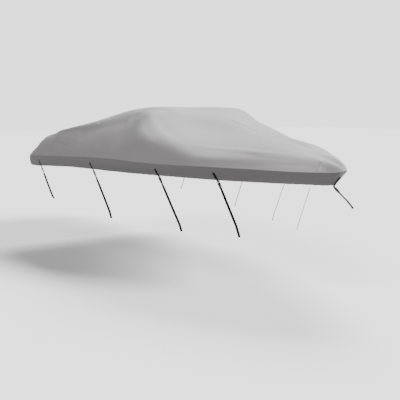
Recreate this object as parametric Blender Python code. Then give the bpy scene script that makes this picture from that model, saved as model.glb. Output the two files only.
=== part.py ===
"""Fitted cloth cover, in its tented and fastened shape.

Metres, +Z up, +X towards the bow, +Y to port.  The origin lies on the underside of
the cloth, on the centre line near its top, where it is held up.
Station u is the distance aft of the bow tip; height h is above the bow tip.
"""
import math

import bmesh
import bpy
import numpy as np

# Driving dimensions
LENGTH = 4.98              # bow tip to stern, along the gunwale fold
CLOTH = 0.003              # cloth sheet
SEAM_GAP = 0.0005          # between two cloth panels at a seam
EDGE_GAP = 0.0007          # between the upper cloth and the skirt at the gunwale
STEM_GAP = 0.0008          # more of it at the stem, where the fold is sharpest
NOSE_LENGTH = 0.17         # bow cap, tip to its seam
TOP_STATION = 2.55         # station of the origin
TOP_HEIGHT = 0.586         # height of the origin, the cloth's underside there
CORNER_START = 4.80        # where the cloth starts to turn round the stern corners
SKIRT_BULGE = 0.012        # outward belly of the skirt halfway down
SKIRT_TURN_START = 4.70    # where the skirt's belly starts to face aft
SKIRT_TURN = 1.2           # how far it has turned at the stern, in radians
CORNER_GAP = 0.0007        # each skirt stops this far short of the stern corner

# Folded webbing and its side-release buckles
WEB_WIDTH = 0.025
WEB_THICK = 0.002
TAB_START = 0.42           # share of the skirt's depth where a tab is sewn on
TAB_PAST_HEM = 0.010
TAB_DROP = 0.003           # straight run below the hem before a tab's turn
TAB_BEND = 0.007           # radius of a tab's turn below the hem
FIT_GAP = 0.0003
BOW_FIT_GAP = 0.0008       # the bow tab lies over the two skirts' meeting edge
BUCKLE_LENGTH = 0.062
BUCKLE_WIDTH = 0.036
BUCKLE_THICK = 0.009
BUCKLE_CHAMFER = 0.0012
WEB_TURN = 56.0            # degrees that the hanging webbing has turned from fore and aft
WEB_TURN_SHARE = 0.3       # share of the webbing's fall in which it turns
WEB_TURN_STEPS = 6
KNEE_HALF = 0.02           # half the length of the bend at a strap's knee

# Mesh spacing
NOSE_ROWS = 6
BODY_ROWS = 42
SPAN_STEPS = (4, 5, 5)     # crown to shoulder, shoulder to deck edge, deck edge to gunwale
SKIRT_STEPS = 3
TRANSOM_COLUMNS = 16

# Half sections from the bow tip aft.  y is a half breadth and h a height.
COLUMNS = ("u", "gunwale_y", "gunwale_h", "deck_y", "deck_h", "shoulder_y",
           "shoulder_h", "crown_h", "hem_u", "hem_y", "hem_h")
SECTIONS = (
    (0.00, 0.000, 0.000, 0.000, 0.000, 0.000, 0.000, 0.000, 0.128, 0.000, -0.143),
    (0.10, 0.115, -0.020, 0.092, 0.052, 0.042, 0.075, 0.097, 0.192, 0.072, -0.149),
    (0.32, 0.323, -0.018, 0.189, 0.109, 0.062, 0.135, 0.143, 0.385, 0.226, -0.146),
    (0.70, 0.567, -0.008, 0.433, 0.139, 0.137, 0.237, 0.223, 0.732, 0.470, -0.143),
    (1.15, 0.788, -0.003, 0.659, 0.133, 0.192, 0.284, 0.308, 1.168, 0.703, -0.140),
    (1.65, 0.957, -0.005, 0.841, 0.226, 0.373, 0.333, 0.431, 1.661, 0.887, -0.136),
    (2.10, 1.089, 0.004, 0.916, 0.316, 0.487, 0.470, 0.530, 2.107, 1.028, -0.134),
    (2.40, 1.155, 0.014, 0.875, 0.380, 0.586, 0.585, 0.552, 2.404, 1.099, -0.133),
    (2.70, 1.199, 0.012, 0.945, 0.357, 0.657, 0.570, 0.600, 2.702, 1.147, -0.133),
    (3.40, 1.235, -0.008, 1.022, 0.284, 0.802, 0.454, 0.518, 3.400, 1.190, -0.144),
    (4.15, 1.246, -0.038, 1.074, 0.257, 0.909, 0.314, 0.394, 4.150, 1.208, -0.178),
    (4.58, 1.250, -0.055, 1.086, 0.192, 0.836, 0.245, 0.321, 4.578, 1.220, -0.200),
    (4.82, 1.240, -0.064, 0.992, 0.154, 0.686, 0.197, 0.223, 4.832, 1.218, -0.205),
    (4.94, 1.156, -0.046, 0.896, 0.080, 0.639, 0.104, 0.117, 4.950, 1.138, -0.202),
    (4.98, 0.955, -0.028, 0.770, -0.028, 0.560, -0.028, -0.028, 4.978, 0.940, -0.197),
)

# Broad folds of the upper cloth, as soft troughs (depth > 0) or ridges (depth < 0)
# between two points (u, y); y < 0 is the starboard side.
FOLD_COLUMNS = ("u0", "y0", "u1", "y1", "half_width", "depth")
FOLDS = (
    (1.30, 0.00, 2.12, 0.00, 0.200, 0.006),
    (2.52, -0.79, 2.28, -0.53, 0.070, 0.018),
    (2.44, 0.90, 2.16, 0.80, 0.070, 0.010),
    (2.69, -0.83, 3.78, -0.85, 0.110, 0.014),
    (2.80, 0.84, 3.88, 0.87, 0.110, 0.012),
    (3.00, 0.05, 4.10, -0.05, 0.260, 0.012),
    (4.30, -1.10, 4.62, -0.86, 0.085, 0.012),
    (4.38, 1.10, 4.60, 0.84, 0.085, 0.010),
)

# Ties from forward aft.  y and h give the webbing's knee and its free end.
TIE_COLUMNS = ("number", "u", "knee_y", "knee_h", "end_y", "end_h")
TIES = (
    (4, 1.046, 0.436, -0.622, 0.394, -0.743),
    (3, 1.755, 0.668, -0.690, 0.647, -0.761),
    (2, 2.880, 0.960, -0.655, 0.938, -0.741),
    (1, 4.450, 1.080, -0.600, 1.052, -0.659),
)
# The bow tie lies on the centre line; u is negative ahead of the bow tip.
BOW_TIE_KNEE = (-0.045, -0.277)
BOW_TIE_END = (-0.113, -0.333)

# Half outline of a buckle, (across, along) as shares of half its width and length
BUCKLE_OUTLINE = (
    (0.00, 1.00), (0.72, 1.00), (0.82, 0.90), (0.82, 0.42), (0.92, 0.34),
    (1.00, 0.16), (0.98, -0.12), (0.80, -0.26), (0.86, -0.40), (0.86, -0.90),
    (0.76, -1.00), (0.00, -1.00),
)

MATERIALS = {
    # name: (base colour, roughness, metallic)
    "cloth_grey": ((0.300, 0.294, 0.297, 1.0), 0.74, 0.0),
    "skirt_grey": ((0.185, 0.181, 0.186, 1.0), 0.74, 0.0),
    "webbing_black": ((0.012, 0.012, 0.013, 1.0), 0.72, 0.0),
    "buckle_black": ((0.014, 0.014, 0.015, 1.0), 0.40, 0.0),
}

TABLE = np.array(SECTIONS)
STATION_ROOTS = np.sqrt(TABLE[:, 0])


def table_slopes(x, y):
    """Slopes that keep a smooth curve through the rows from overshooting them."""
    step = np.diff(x)
    rise = np.diff(y, axis=0) / step[:, None]
    slope = np.zeros_like(y)
    before, after = rise[:-1], rise[1:]
    w_before = (2.0 * step[1:] + step[:-1])[:, None]
    w_after = (step[1:] + 2.0 * step[:-1])[:, None]
    same = before * after > 0.0
    safe_before = np.where(same, before, 1.0)
    safe_after = np.where(same, after, 1.0)
    mean = (w_before + w_after) / (w_before / safe_before + w_after / safe_after)
    slope[1:-1] = np.where(same, mean, 0.0)
    slope[0] = rise[0]
    slope[-1] = rise[-1]
    return slope


TABLE_SLOPES = table_slopes(STATION_ROOTS, TABLE)


def section(u):
    """The section at station u as a dictionary of the table's columns."""
    root = math.sqrt(min(max(u, 0.0), LENGTH))
    k = int(np.clip(np.searchsorted(STATION_ROOTS, root, side="right") - 1, 0,
                    len(STATION_ROOTS) - 2))
    step = STATION_ROOTS[k + 1] - STATION_ROOTS[k]
    t = (root - STATION_ROOTS[k]) / step
    row = (TABLE[k] * (1 + 2 * t) * (1 - t) ** 2
           + TABLE_SLOPES[k] * step * t * (1 - t) ** 2
           + TABLE[k + 1] * t * t * (3 - 2 * t)
           + TABLE_SLOPES[k + 1] * step * t * t * (t - 1))
    return dict(zip(COLUMNS, row))


def place(u, y, h):
    """Station, half breadth and height as a point of the part's frame."""
    return np.array((TOP_STATION - u, y, h - TOP_HEIGHT))


def through(p0, p1, p2, p3, t):
    """A smooth curve from p1 to p2 that passes through all four points."""
    return 0.5 * (2 * p1 + (p2 - p0) * t + (2 * p0 - 5 * p1 + 4 * p2 - p3) * t * t
                  + (3 * p1 - p0 - 3 * p2 + p3) * t ** 3)


def fold_depth(u, y):
    """How far the broad folds press the cloth in at a point of the plan."""
    total = 0.0
    for u0, y0, u1, y1, half_width, depth in FOLDS:
        along = np.array((u1 - u0, y1 - y0))
        length = float(np.hypot(*along))
        along = along / length
        reach = np.array((u - u0, y - y0))
        t = float(reach @ along)
        off = float(reach @ np.array((-along[1], along[0])))
        past = max(-t, t - length, 0.0)
        total += depth * math.exp(-(off * off + past * past) / half_width ** 2)
    return total


def upper_point(u, v, side):
    """Smooth upper cloth: v is 0 at the crown, 1 shoulder, 2 deck edge, 3 gunwale."""
    s = section(u)
    knots = (
        np.array((-s["shoulder_y"], s["shoulder_h"])),
        np.array((0.0, s["crown_h"])),
        np.array((s["shoulder_y"], s["shoulder_h"])),
        np.array((s["deck_y"], s["deck_h"])),
        np.array((s["gunwale_y"], s["gunwale_h"])),
        np.array((s["gunwale_y"], 1.8 * s["gunwale_h"] - 0.8 * s["deck_h"])),
    )
    k = min(int(v), 2)
    y, h = through(knots[k], knots[k + 1], knots[k + 2], knots[k + 3], v - k)
    return place(u, side * y, h)


def skirt_point(u, b, side):
    """Side skirt: b is 0 at the gunwale and 1 at the hem."""
    s = section(u)
    top = place(u, side * s["gunwale_y"], s["gunwale_h"])
    hem = place(s["hem_u"], side * s["hem_y"], s["hem_h"])
    belly = 4.0 * b * (1.0 - b) * SKIRT_BULGE * min(1.0, u / 0.4)
    stern = SKIRT_TURN * max(0.0, (u - SKIRT_TURN_START) / (LENGTH - SKIRT_TURN_START))
    out = np.array((-math.sin(stern), side * math.cos(stern), 0.0))
    return top + (hem - top) * b + out * belly


def transom_point(w, b):
    """Skirt across the stern: w is -1 at the starboard corner and 1 at the port one."""
    s = section(LENGTH)
    top = place(LENGTH, w * s["gunwale_y"], s["gunwale_h"])
    hem = place(s["hem_u"], w * s["hem_y"], s["hem_h"])
    belly = 4.0 * b * (1.0 - b) * SKIRT_BULGE
    turn = w * (0.5 * math.pi - SKIRT_TURN)
    return top + (hem - top) * b + np.array((-math.cos(turn), math.sin(turn), 0.0)) * belly


def unit(vector):
    return vector / np.linalg.norm(vector)


def surface_normal(point, a, b, a_range, b_range, inside):
    """Unit normal of point(a, b) turned away from the point named inside."""
    da = 1e-4 * (a_range[1] - a_range[0])
    db = 1e-4 * (b_range[1] - b_range[0])
    a0, a1 = max(a - da, a_range[0]), min(a + da, a_range[1])
    b0, b1 = max(b - db, b_range[0]), min(b + db, b_range[1])
    normal = unit(np.cross(point(a1, b) - point(a0, b), point(a, b1) - point(a, b0)))
    if normal @ (point(a, b) - inside) < 0.0:
        normal = -normal
    return normal


def hull_core(u):
    """A point well inside the cover at station u."""
    return place(min(max(u, 0.35), LENGTH - 0.5), 0.0, -0.02)


def upper_normal(u, v, side):
    if u < 1e-5:
        return np.array((1.0, 0.0, 0.0))
    normal = surface_normal(lambda a, b: upper_point(a, b, side), u, v,
                            (0.0, LENGTH), (0.0, 3.0), hull_core(u))
    corner = max(0.0, (u - CORNER_START) / (LENGTH - CORNER_START)) ** 2
    turned = unit(np.array((-1.0, side * 0.8 * (v / 3.0) ** 6, 0.5)))
    return unit(normal * (1.0 - corner) + turned * corner)


def skirt_normal(u, b, side):
    u = max(u, 2e-4)
    inside = hull_core(u) + np.array((0.0, 0.0, 0.25))
    return surface_normal(lambda p, q: skirt_point(p, q, side), u, b,
                          (0.0, LENGTH), (0.0, 1.0), inside)


def transom_normal(w, b):
    return surface_normal(transom_point, w, b, (-1.0, 1.0), (0.0, 1.0), hull_core(LENGTH))


def upper_cloth(u, v, side):
    """Upper cloth with its folds, and its normal."""
    base = upper_point(u, v, side)
    normal = upper_normal(u, v, side)
    fade = min(1.0, 3.0 - v) if v > 2.0 else 1.0
    return base - normal * fold_depth(u, base[1]) * fade, normal


def edge_drop(upper_n, down):
    """How far down its own slope the skirt starts, to clear the upper cloth's edge."""
    return max(0.0, -CLOTH * float(upper_n @ down)) + EDGE_GAP


def make_material(name):
    colour, roughness, metallic = MATERIALS[name]
    material = bpy.data.materials.get(name)
    if material is None:
        material = bpy.data.materials.new(name)
        material.use_nodes = True
        shader = material.node_tree.nodes["Principled BSDF"]
        shader.inputs["Base Color"].default_value = colour
        shader.inputs["Roughness"].default_value = roughness
        shader.inputs["Metallic"].default_value = metallic
        material.diffuse_color = colour
    return material


def finish(name, bm, material, smooth=True):
    """Weld the mesh, turn its faces out and give it its object and material."""
    bmesh.ops.remove_doubles(bm, verts=bm.verts, dist=1e-5)
    bmesh.ops.dissolve_degenerate(bm, edges=bm.edges, dist=1e-6)
    bmesh.ops.recalc_face_normals(bm, faces=bm.faces)
    mesh = bpy.data.meshes.new(name)
    bm.to_mesh(mesh)
    bm.free()
    mesh.materials.append(make_material(material))
    if smooth:
        mesh.shade_smooth()
        mesh.set_sharp_from_angle(angle=math.radians(35))
    obj = bpy.data.objects.new(name, mesh)
    bpy.context.scene.collection.objects.link(obj)
    return obj


def sheet(name, outer, normals, thickness, material):
    """A closed sheet under a grid of outer points, thickened against the normals."""
    rows, columns = len(outer), len(outer[0])
    bm = bmesh.new()
    top = [[bm.verts.new(p) for p in row] for row in outer]
    under = [[bm.verts.new(p - n * thickness) for p, n in zip(prow, nrow)]
             for prow, nrow in zip(outer, normals)]

    def quad(*verts):
        bm.faces.new(verts)

    for i in range(rows - 1):
        for j in range(columns - 1):
            quad(top[i][j], top[i + 1][j], top[i + 1][j + 1], top[i][j + 1])
            quad(under[i][j], under[i][j + 1], under[i + 1][j + 1], under[i + 1][j])
        quad(top[i][0], under[i][0], under[i + 1][0], top[i + 1][0])
        quad(top[i][-1], top[i + 1][-1], under[i + 1][-1], under[i][-1])
    for j in range(columns - 1):
        quad(top[0][j], top[0][j + 1], under[0][j + 1], under[0][j])
        quad(top[-1][j], under[-1][j], under[-1][j + 1], top[-1][j + 1])
    return finish(name, bm, material)


def half_steps():
    """Values of v from the crown to the gunwale."""
    values = []
    for span, steps in enumerate(SPAN_STEPS):
        values += [span + k / steps for k in range(steps)]
    return values + [3.0]


def nose_stations():
    last = NOSE_LENGTH - SEAM_GAP / 2
    return [last * (i / NOSE_ROWS) ** 2 for i in range(NOSE_ROWS + 1)]


def build_nose():
    """Bow cap: one piece across both bows, ahead of its seam."""
    across = [(v, -1) for v in reversed(half_steps())] + [(v, 1) for v in half_steps()[1:]]
    outer, normals = [], []
    for u in nose_stations():
        pairs = [upper_cloth(u, v, side) for v, side in across]
        outer.append([p for p, n in pairs])
        normals.append([n for p, n in pairs])
    sheet("nose_cap", outer, normals, CLOTH, "cloth_grey")


def station_list():
    """Stations of the upper halves: close together at the bow and at the stern."""
    first = NOSE_LENGTH + SEAM_GAP / 2
    weights = []
    for i in range(BODY_ROWS):
        t = (i + 0.5) / BODY_ROWS
        weights.append(0.30 + math.sin(math.pi * t ** 0.85) ** 0.8)
    total = sum(weights)
    values, u = [first], first
    for weight in weights:
        u += (LENGTH - first) * weight / total
        values.append(u)
    values[-1] = LENGTH
    return values


def build_half(side, name):
    """One side of the upper cloth, from the centre seam to the gunwale."""
    outer, normals = [], []
    for u in station_list():
        pairs = [upper_cloth(u, v, side) for v in half_steps()]
        points = [p for p, n in pairs]
        points[0] = points[0] + np.array((0.0, side * SEAM_GAP / 2, 0.0))
        turns = [n for p, n in pairs]
        turns[0] = unit(turns[0] * np.array((1.0, 0.0, 1.0)))
        outer.append(points)
        normals.append(turns)
    sheet(name, outer, normals, CLOTH, "cloth_grey")


def build_skirt(side, name):
    """Side skirt from the stem to the stern corner, folded under the gunwale."""
    stations = [0.0002] + nose_stations()[1:-1] + station_list()
    step = 1e-4
    moved = skirt_point(LENGTH, 0.5, side) - skirt_point(LENGTH - step, 0.5, side)
    stations[-1] = LENGTH - CORNER_GAP * step / np.linalg.norm(moved)
    outer, normals = [], []
    for u in stations:
        down = unit(skirt_point(u, 0.08, side) - skirt_point(u, 0.0, side))
        depth = np.linalg.norm(skirt_point(u, 1.0, side) - skirt_point(u, 0.0, side))
        clear = edge_drop(upper_normal(max(u, 1e-3), 3.0, side), down)
        clear += STEM_GAP * max(0.0, 1.0 - u / NOSE_LENGTH)
        start = clear / depth
        shares = [start] + [k / SKIRT_STEPS for k in range(1, SKIRT_STEPS + 1)]
        points = [skirt_point(u, b, side) for b in shares]
        turns = [skirt_normal(u, b, side) for b in shares]
        outer.append(points)
        normals.append(turns)
    for row, turns in zip(outer[:1], normals[:1]):
        for k in range(len(row)):
            turns[k] = unit(turns[k] * np.array((1.0, 0.0, 1.0)))
            row[k] = row[k] * np.array((1.0, 0.0, 1.0)) + np.array((0.0, side * 0.0005, 0.0))
    sheet(name, outer, normals, CLOTH, "skirt_grey")


def build_transom():
    """Skirt across the stern between the two corners."""
    reach = 1.0 - CORNER_GAP / section(LENGTH)["gunwale_y"]
    outer, normals = [], []
    for i in range(TRANSOM_COLUMNS + 1):
        w = reach * (2.0 * i / TRANSOM_COLUMNS - 1.0)
        down = unit(transom_point(w, 0.08) - transom_point(w, 0.0))
        depth = np.linalg.norm(transom_point(w, 1.0) - transom_point(w, 0.0))
        start = edge_drop(upper_normal(LENGTH, 3.0 * abs(w), 1), down) / depth
        shares = [start] + [k / SKIRT_STEPS for k in range(1, SKIRT_STEPS + 1)]
        outer.append([transom_point(w, b) for b in shares])
        normals.append([transom_normal(w, b) for b in shares])
    sheet("skirt_transom", outer, normals, CLOTH, "skirt_grey")


def strip_frames(path, width_axes, outward):
    """Across and face directions at each point; the face starts towards outward."""
    frames, sign = [], 0.0
    for i, axis in enumerate(width_axes):
        ahead = unit(path[min(i + 1, len(path) - 1)] - path[max(i - 1, 0)])
        across = unit(axis - ahead * float(axis @ ahead))
        face = unit(np.cross(ahead, across))
        if sign == 0.0:
            sign = 1.0 if face @ outward > 0.0 else -1.0
        frames.append((across, face * sign))
    return frames


def ribbon(name, path, width_axes, outward):
    """Webbing along a path of points.  Gives the face direction at its end."""
    frames = strip_frames(path, width_axes, outward)
    bm = bmesh.new()
    rings = []
    for point, (across, face) in zip(path, frames):
        w = across * WEB_WIDTH / 2
        t = face * WEB_THICK / 2
        ring = (point - w + t, point + w + t, point + w - t, point - w - t)
        rings.append([bm.verts.new(p) for p in ring])
    for a, b in zip(rings, rings[1:]):
        for k in range(4):
            bm.faces.new((a[k], a[(k + 1) % 4], b[(k + 1) % 4], b[k]))
    bm.faces.new(rings[0])
    bm.faces.new(tuple(reversed(rings[-1])))
    # turning webbing has no flat faces of four corners
    bmesh.ops.triangulate(bm, faces=bm.faces)
    finish(name, bm, "webbing_black", smooth=False)
    return frames[-1][1]


def bent(point, before, after, radius, steps):
    """Points of an arc that turns from one direction to another."""
    angle = math.acos(max(-1.0, min(1.0, float(before @ after))))
    across = unit(after - before * float(after @ before))
    points = []
    for k in range(steps):
        turn = angle * (k + 0.5) / steps
        heading = before * math.cos(turn) + across * math.sin(turn)
        point = point + heading * radius * angle / steps
        points.append(point)
    return points


def build_buckle(name, centre, along, width_axis, face):
    """A closed side-release buckle: a shaped plate with chamfered edges."""
    across = unit(width_axis - along * float(width_axis @ along))
    half = [(x * BUCKLE_WIDTH / 2, y * BUCKLE_LENGTH / 2) for x, y in BUCKLE_OUTLINE]
    outline = half + [(-x, y) for x, y in reversed(half[1:-1])]
    count = len(outline)
    bm = bmesh.new()
    rings = []
    for level, inset in ((-0.5, BUCKLE_CHAMFER), (-0.3, 0.0), (0.3, 0.0),
                         (0.5, BUCKLE_CHAMFER)):
        ring = []
        for x, y in outline:
            x -= math.copysign(min(inset, abs(x)), x)
            y -= math.copysign(inset, y)
            point = centre + across * x - along * y + face * BUCKLE_THICK * level
            ring.append(bm.verts.new(point))
        rings.append(ring)
    for a, b in zip(rings, rings[1:]):
        for k in range(count):
            bm.faces.new((a[k], a[(k + 1) % count], b[(k + 1) % count], b[k]))
    bm.faces.new(rings[0])
    bm.faces.new(tuple(reversed(rings[-1])))
    finish(name, bm, "buckle_black", smooth=False)


def tie(label, surface, normal, tangent, hang, knee, end, fit=FIT_GAP):
    """Tab, buckle and webbing of one tie that hangs from the skirt.

    tangent runs across the tab, and hang across the webbing once it has turned."""
    lift = fit + WEB_THICK / 2
    shares = [TAB_START] + [k / SKIRT_STEPS for k in range(2, SKIRT_STEPS + 1)]
    path = [surface(b) + normal(b) * lift for b in shares]
    slope = unit(path[-1] - path[-2])
    past = path[-1] + slope * TAB_DROP
    fall = unit(knee - past)
    path.append(past)
    path += bent(past, slope, fall, TAB_BEND, 4)
    path.append(path[-1] + fall * TAB_PAST_HEM)
    face = ribbon("tab_" + label, path, [tangent] * len(path), normal(TAB_START))
    centre = path[-1] + fall * (FIT_GAP + BUCKLE_LENGTH / 2)
    build_buckle("buckle_" + label, centre, fall, tangent, face)
    start = centre + fall * (BUCKLE_LENGTH / 2 + FIT_GAP)
    last = unit(end - knee)
    shares = [WEB_TURN_SHARE * k / WEB_TURN_STEPS for k in range(WEB_TURN_STEPS + 1)]
    shares.append(0.65)
    web = [start + (knee - start) * share for share in shares]
    turns = [min(1.0, share / WEB_TURN_SHARE) for share in shares] + [1.0] * 3
    web += [knee - fall * KNEE_HALF, knee + last * KNEE_HALF, end]
    ribbon("strap_" + label, web, [unit(tangent * (1.0 - t) + hang * t) for t in turns], face)


def build_side_ties(side, letter):
    turn = math.radians(WEB_TURN)
    hang = np.array((math.cos(turn), -side * math.sin(turn), 0.0))
    for number, u, knee_y, knee_h, end_y, end_h in TIES:
        tangent = unit(skirt_point(u - 0.02, 0.7, side) - skirt_point(u + 0.02, 0.7, side))
        tie(letter + str(number),
            lambda b: skirt_point(u, b, side),
            lambda b: skirt_normal(u, b, side),
            tangent, hang,
            place(u, side * knee_y, knee_h),
            place(u, side * end_y, end_h))


def build_bow_tie():
    """The bow tie hangs from the stem on the centre line."""
    def surface(b):
        point = skirt_point(0.0004, b, 1)
        return np.array((point[0], 0.0, point[2]))

    def normal(b):
        turned = unit(surface(b) - surface(b - 0.05))
        return unit(np.array((-turned[2], 0.0, turned[0])))

    across = np.array((0.0, 1.0, 0.0))
    knee = place(BOW_TIE_KNEE[0], 0.0, BOW_TIE_KNEE[1])
    end = place(BOW_TIE_END[0], 0.0, BOW_TIE_END[1])
    tie("bow", surface, normal, across, across, knee, end, fit=BOW_FIT_GAP)


def main():
    for obj in list(bpy.data.objects):
        bpy.data.objects.remove(obj, do_unlink=True)
    build_nose()
    build_half(-1, "upper_starboard")
    build_half(1, "upper_port")
    build_skirt(-1, "skirt_starboard")
    build_skirt(1, "skirt_port")
    build_transom()
    build_side_ties(-1, "starboard_")
    build_side_ties(1, "port_")
    build_bow_tie()


main()
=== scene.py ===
"""Dressed model of a fitted cloth cover.

Metres, +Z up, +X towards the bow, +Y to port.  Station u is the distance aft of
the bow tip, h is above the bow tip, and v runs from the crown of a section (0)
over its shoulder (1) and deck edge (2) to the gunwale fold (3).
"""

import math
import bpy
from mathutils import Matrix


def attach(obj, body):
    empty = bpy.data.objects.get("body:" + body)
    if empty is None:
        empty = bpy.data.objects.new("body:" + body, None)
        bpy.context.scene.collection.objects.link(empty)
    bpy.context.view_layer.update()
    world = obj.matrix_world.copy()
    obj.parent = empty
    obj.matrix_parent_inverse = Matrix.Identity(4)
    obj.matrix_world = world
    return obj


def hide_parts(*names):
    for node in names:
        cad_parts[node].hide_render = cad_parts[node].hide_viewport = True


bl_info = {
    "name": "Fitted cloth cover",
    "version": (1, 0, 0),
    "blender": (4, 5, 0),
    "location": "View3D > Sidebar > Boat cover",
    "description": "Grey cloth cover with its seams, hem, creases and webbing ties",
    "category": "Object",
}

import bmesh
import bpy
import numpy as np
from mathutils import Matrix, Vector

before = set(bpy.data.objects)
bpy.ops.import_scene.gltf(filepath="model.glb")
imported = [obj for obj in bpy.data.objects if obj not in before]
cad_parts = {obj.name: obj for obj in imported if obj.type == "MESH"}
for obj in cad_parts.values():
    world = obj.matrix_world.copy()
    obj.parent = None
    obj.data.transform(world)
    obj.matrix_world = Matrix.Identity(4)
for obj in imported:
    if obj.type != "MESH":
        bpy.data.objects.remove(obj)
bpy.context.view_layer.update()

# ---------------------------------------------------------------- sizes, in metres

LENGTH = 4.98              # bow tip to stern, along the gunwale fold
NOSE_LENGTH = 0.17         # bow cap, tip to its seam
NOSE_ROWS = 14             # mesh rows of the bow cap ahead of its seam's own rows
NOSE_COLUMNS = 26          # mesh columns of each half of it
NOSE_SEAM_ROOM = 0.022     # length kept for the seam's own rows
POLE_ROWS = 5              # rows round the bow tip that carry no stitches
TOP_STATION = 2.55         # station of the origin
TOP_HEIGHT = 0.586         # height of the origin above the bow tip
SKIRT_BULGE = 0.012        # outward belly of the skirt halfway down
SKIRT_BULGE_START = 0.4    # it is at its full depth this far aft of the bow tip
SKIRT_TURN_START = 4.70    # where the skirt's belly starts to face aft
SKIRT_TURN = 1.2           # how far it has turned at the stern, in radians
CORNER_START = 4.80        # where the cloth starts to turn round the stern corners
CORNER_GAP = 0.0008        # share of its half width that the stern skirt stops short
SIDE_START = 0.003         # share of the skirt's depth left free under the upper cloth
TRANSOM_TUCK = -0.002      # share of the depth that tucks up behind the upper cloth
SEAM_GAP = 0.0006          # between the edges of two sewn cloths
STEM_STATION = 0.0004      # the station that stands for the stem
STEM_CLEAR = 0.0004        # nearest that the side skirts come to the centre line
HEM_CHANNEL = 0.0016       # how far the hem's channel stands out
CHANNEL_START = 0.80       # share of the skirt's depth where the channel starts
CHANNEL_SLOPE = 0.16       # share of the depth in which it rises
HEM_LAP = 0.0005           # between the skirt and its turned-in hem
HEM_SETTLE = (0.002, 0.012)        # the turned-in hem nears the skirt from here, over this
HEM_STEPS = 10             # mesh rows round the hem's roll, and up its turned-in part
STEM_TURN = 0.05           # length in which the side skirts turn to face ahead at the stem
CALM_BOW = 0.12            # the side skirts wave freely this far from the stem
CALM_STERN = 0.10          # and this far from the stern corners
CALM_CORNER = 0.10         # share of its half width in which the stern skirt comes to rest
CORE_BOW = 0.35            # the line well inside the cover stops this far from the bow tip
CORE_STERN = 0.5           # and this far from the stern
CORE_HEIGHT = -0.02        # and lies at this height above the bow tip
STEP_ALONG = 4e-4          # small steps in u that give directions on the surface
STEP_ACROSS = 3e-4         # the same in v
GUNWALE_RUN_ON = 0.8       # a section runs on past the gunwale by this share of its last span
FINE_STEPS = 4000          # stations for measuring a length along the cover
NOSE_FINE_STEPS = 600      # the same along the bow cap
FINE_VALUES = 361          # and across a section
SEAM_SHARE = 0.30          # most of a narrow section that the seams' own lines take up
INSIDE = (-0.2, 0.0, -0.6)         # a point inside the cover
INSIDE_NOSE = (2.0, 0.0, -0.62)    # a point inside the bow cap
SLACK_START = 0.07         # creases and waves are at full strength this far from an edge
NOSE_CALM = 0.12           # and this far from the bow tip
CREASE_ENDS = 0.25         # share of its depth that a crease keeps at its ends
CREASE_RIM = 0.35          # height of the rise beside a crease, as a share of its depth
CREASE_RIM_PLACE = 1.7     # and its distance, in half widths
CREASE_RIM_SPREAD = 0.5    # and its spread, in squared half widths
CREASE_SWELL = 0.7         # below 1, a crease is soon at its full depth
CREASE_STEPS = 4           # straight bits between two of its points
GATHER = 0.0009            # height of the small gathers along a sewn edge
GATHER_PLACE = 0.030       # their distance from the edge
GATHER_WIDTH = 0.022
GATHER_PITCH = 0.047
HEM_GATHER = 0.0022        # height of the skirt's gathers at the hem
HEM_GATHER_PITCH = 0.086
SKIRT_SWELL = 0.0030       # height of its slow waves halfway down
HEM_DROOP = 0.0015         # unevenness of the hem's lower edge
SEAM_SLOPE = 0.003         # width in which a felled seam falls away at its far side
SEAM_SLOPE_INSIDE = 0.002  # how much of that lies inside the seam's width
STITCH_DIP = 0.45          # depth of the dip that stitches pull, as a share of the rise
STITCH_DIP_WIDTH = 0.0016
FIRST_STITCHES = 0.0028    # row of stitches nearest to a seam's edge
LAST_STITCHES = 0.0030     # the other row, from the far side of the felled seam
STITCH_LENGTH = 0.0032
STITCH_WIDTH = 0.00055
STITCH_HEIGHT = 0.9        # as a share of its width
STITCH_AIM = 0.002         # a stitch points from this far before it to this far after
STITCH_BATCH = 48          # stitches that are joined at a time

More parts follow.
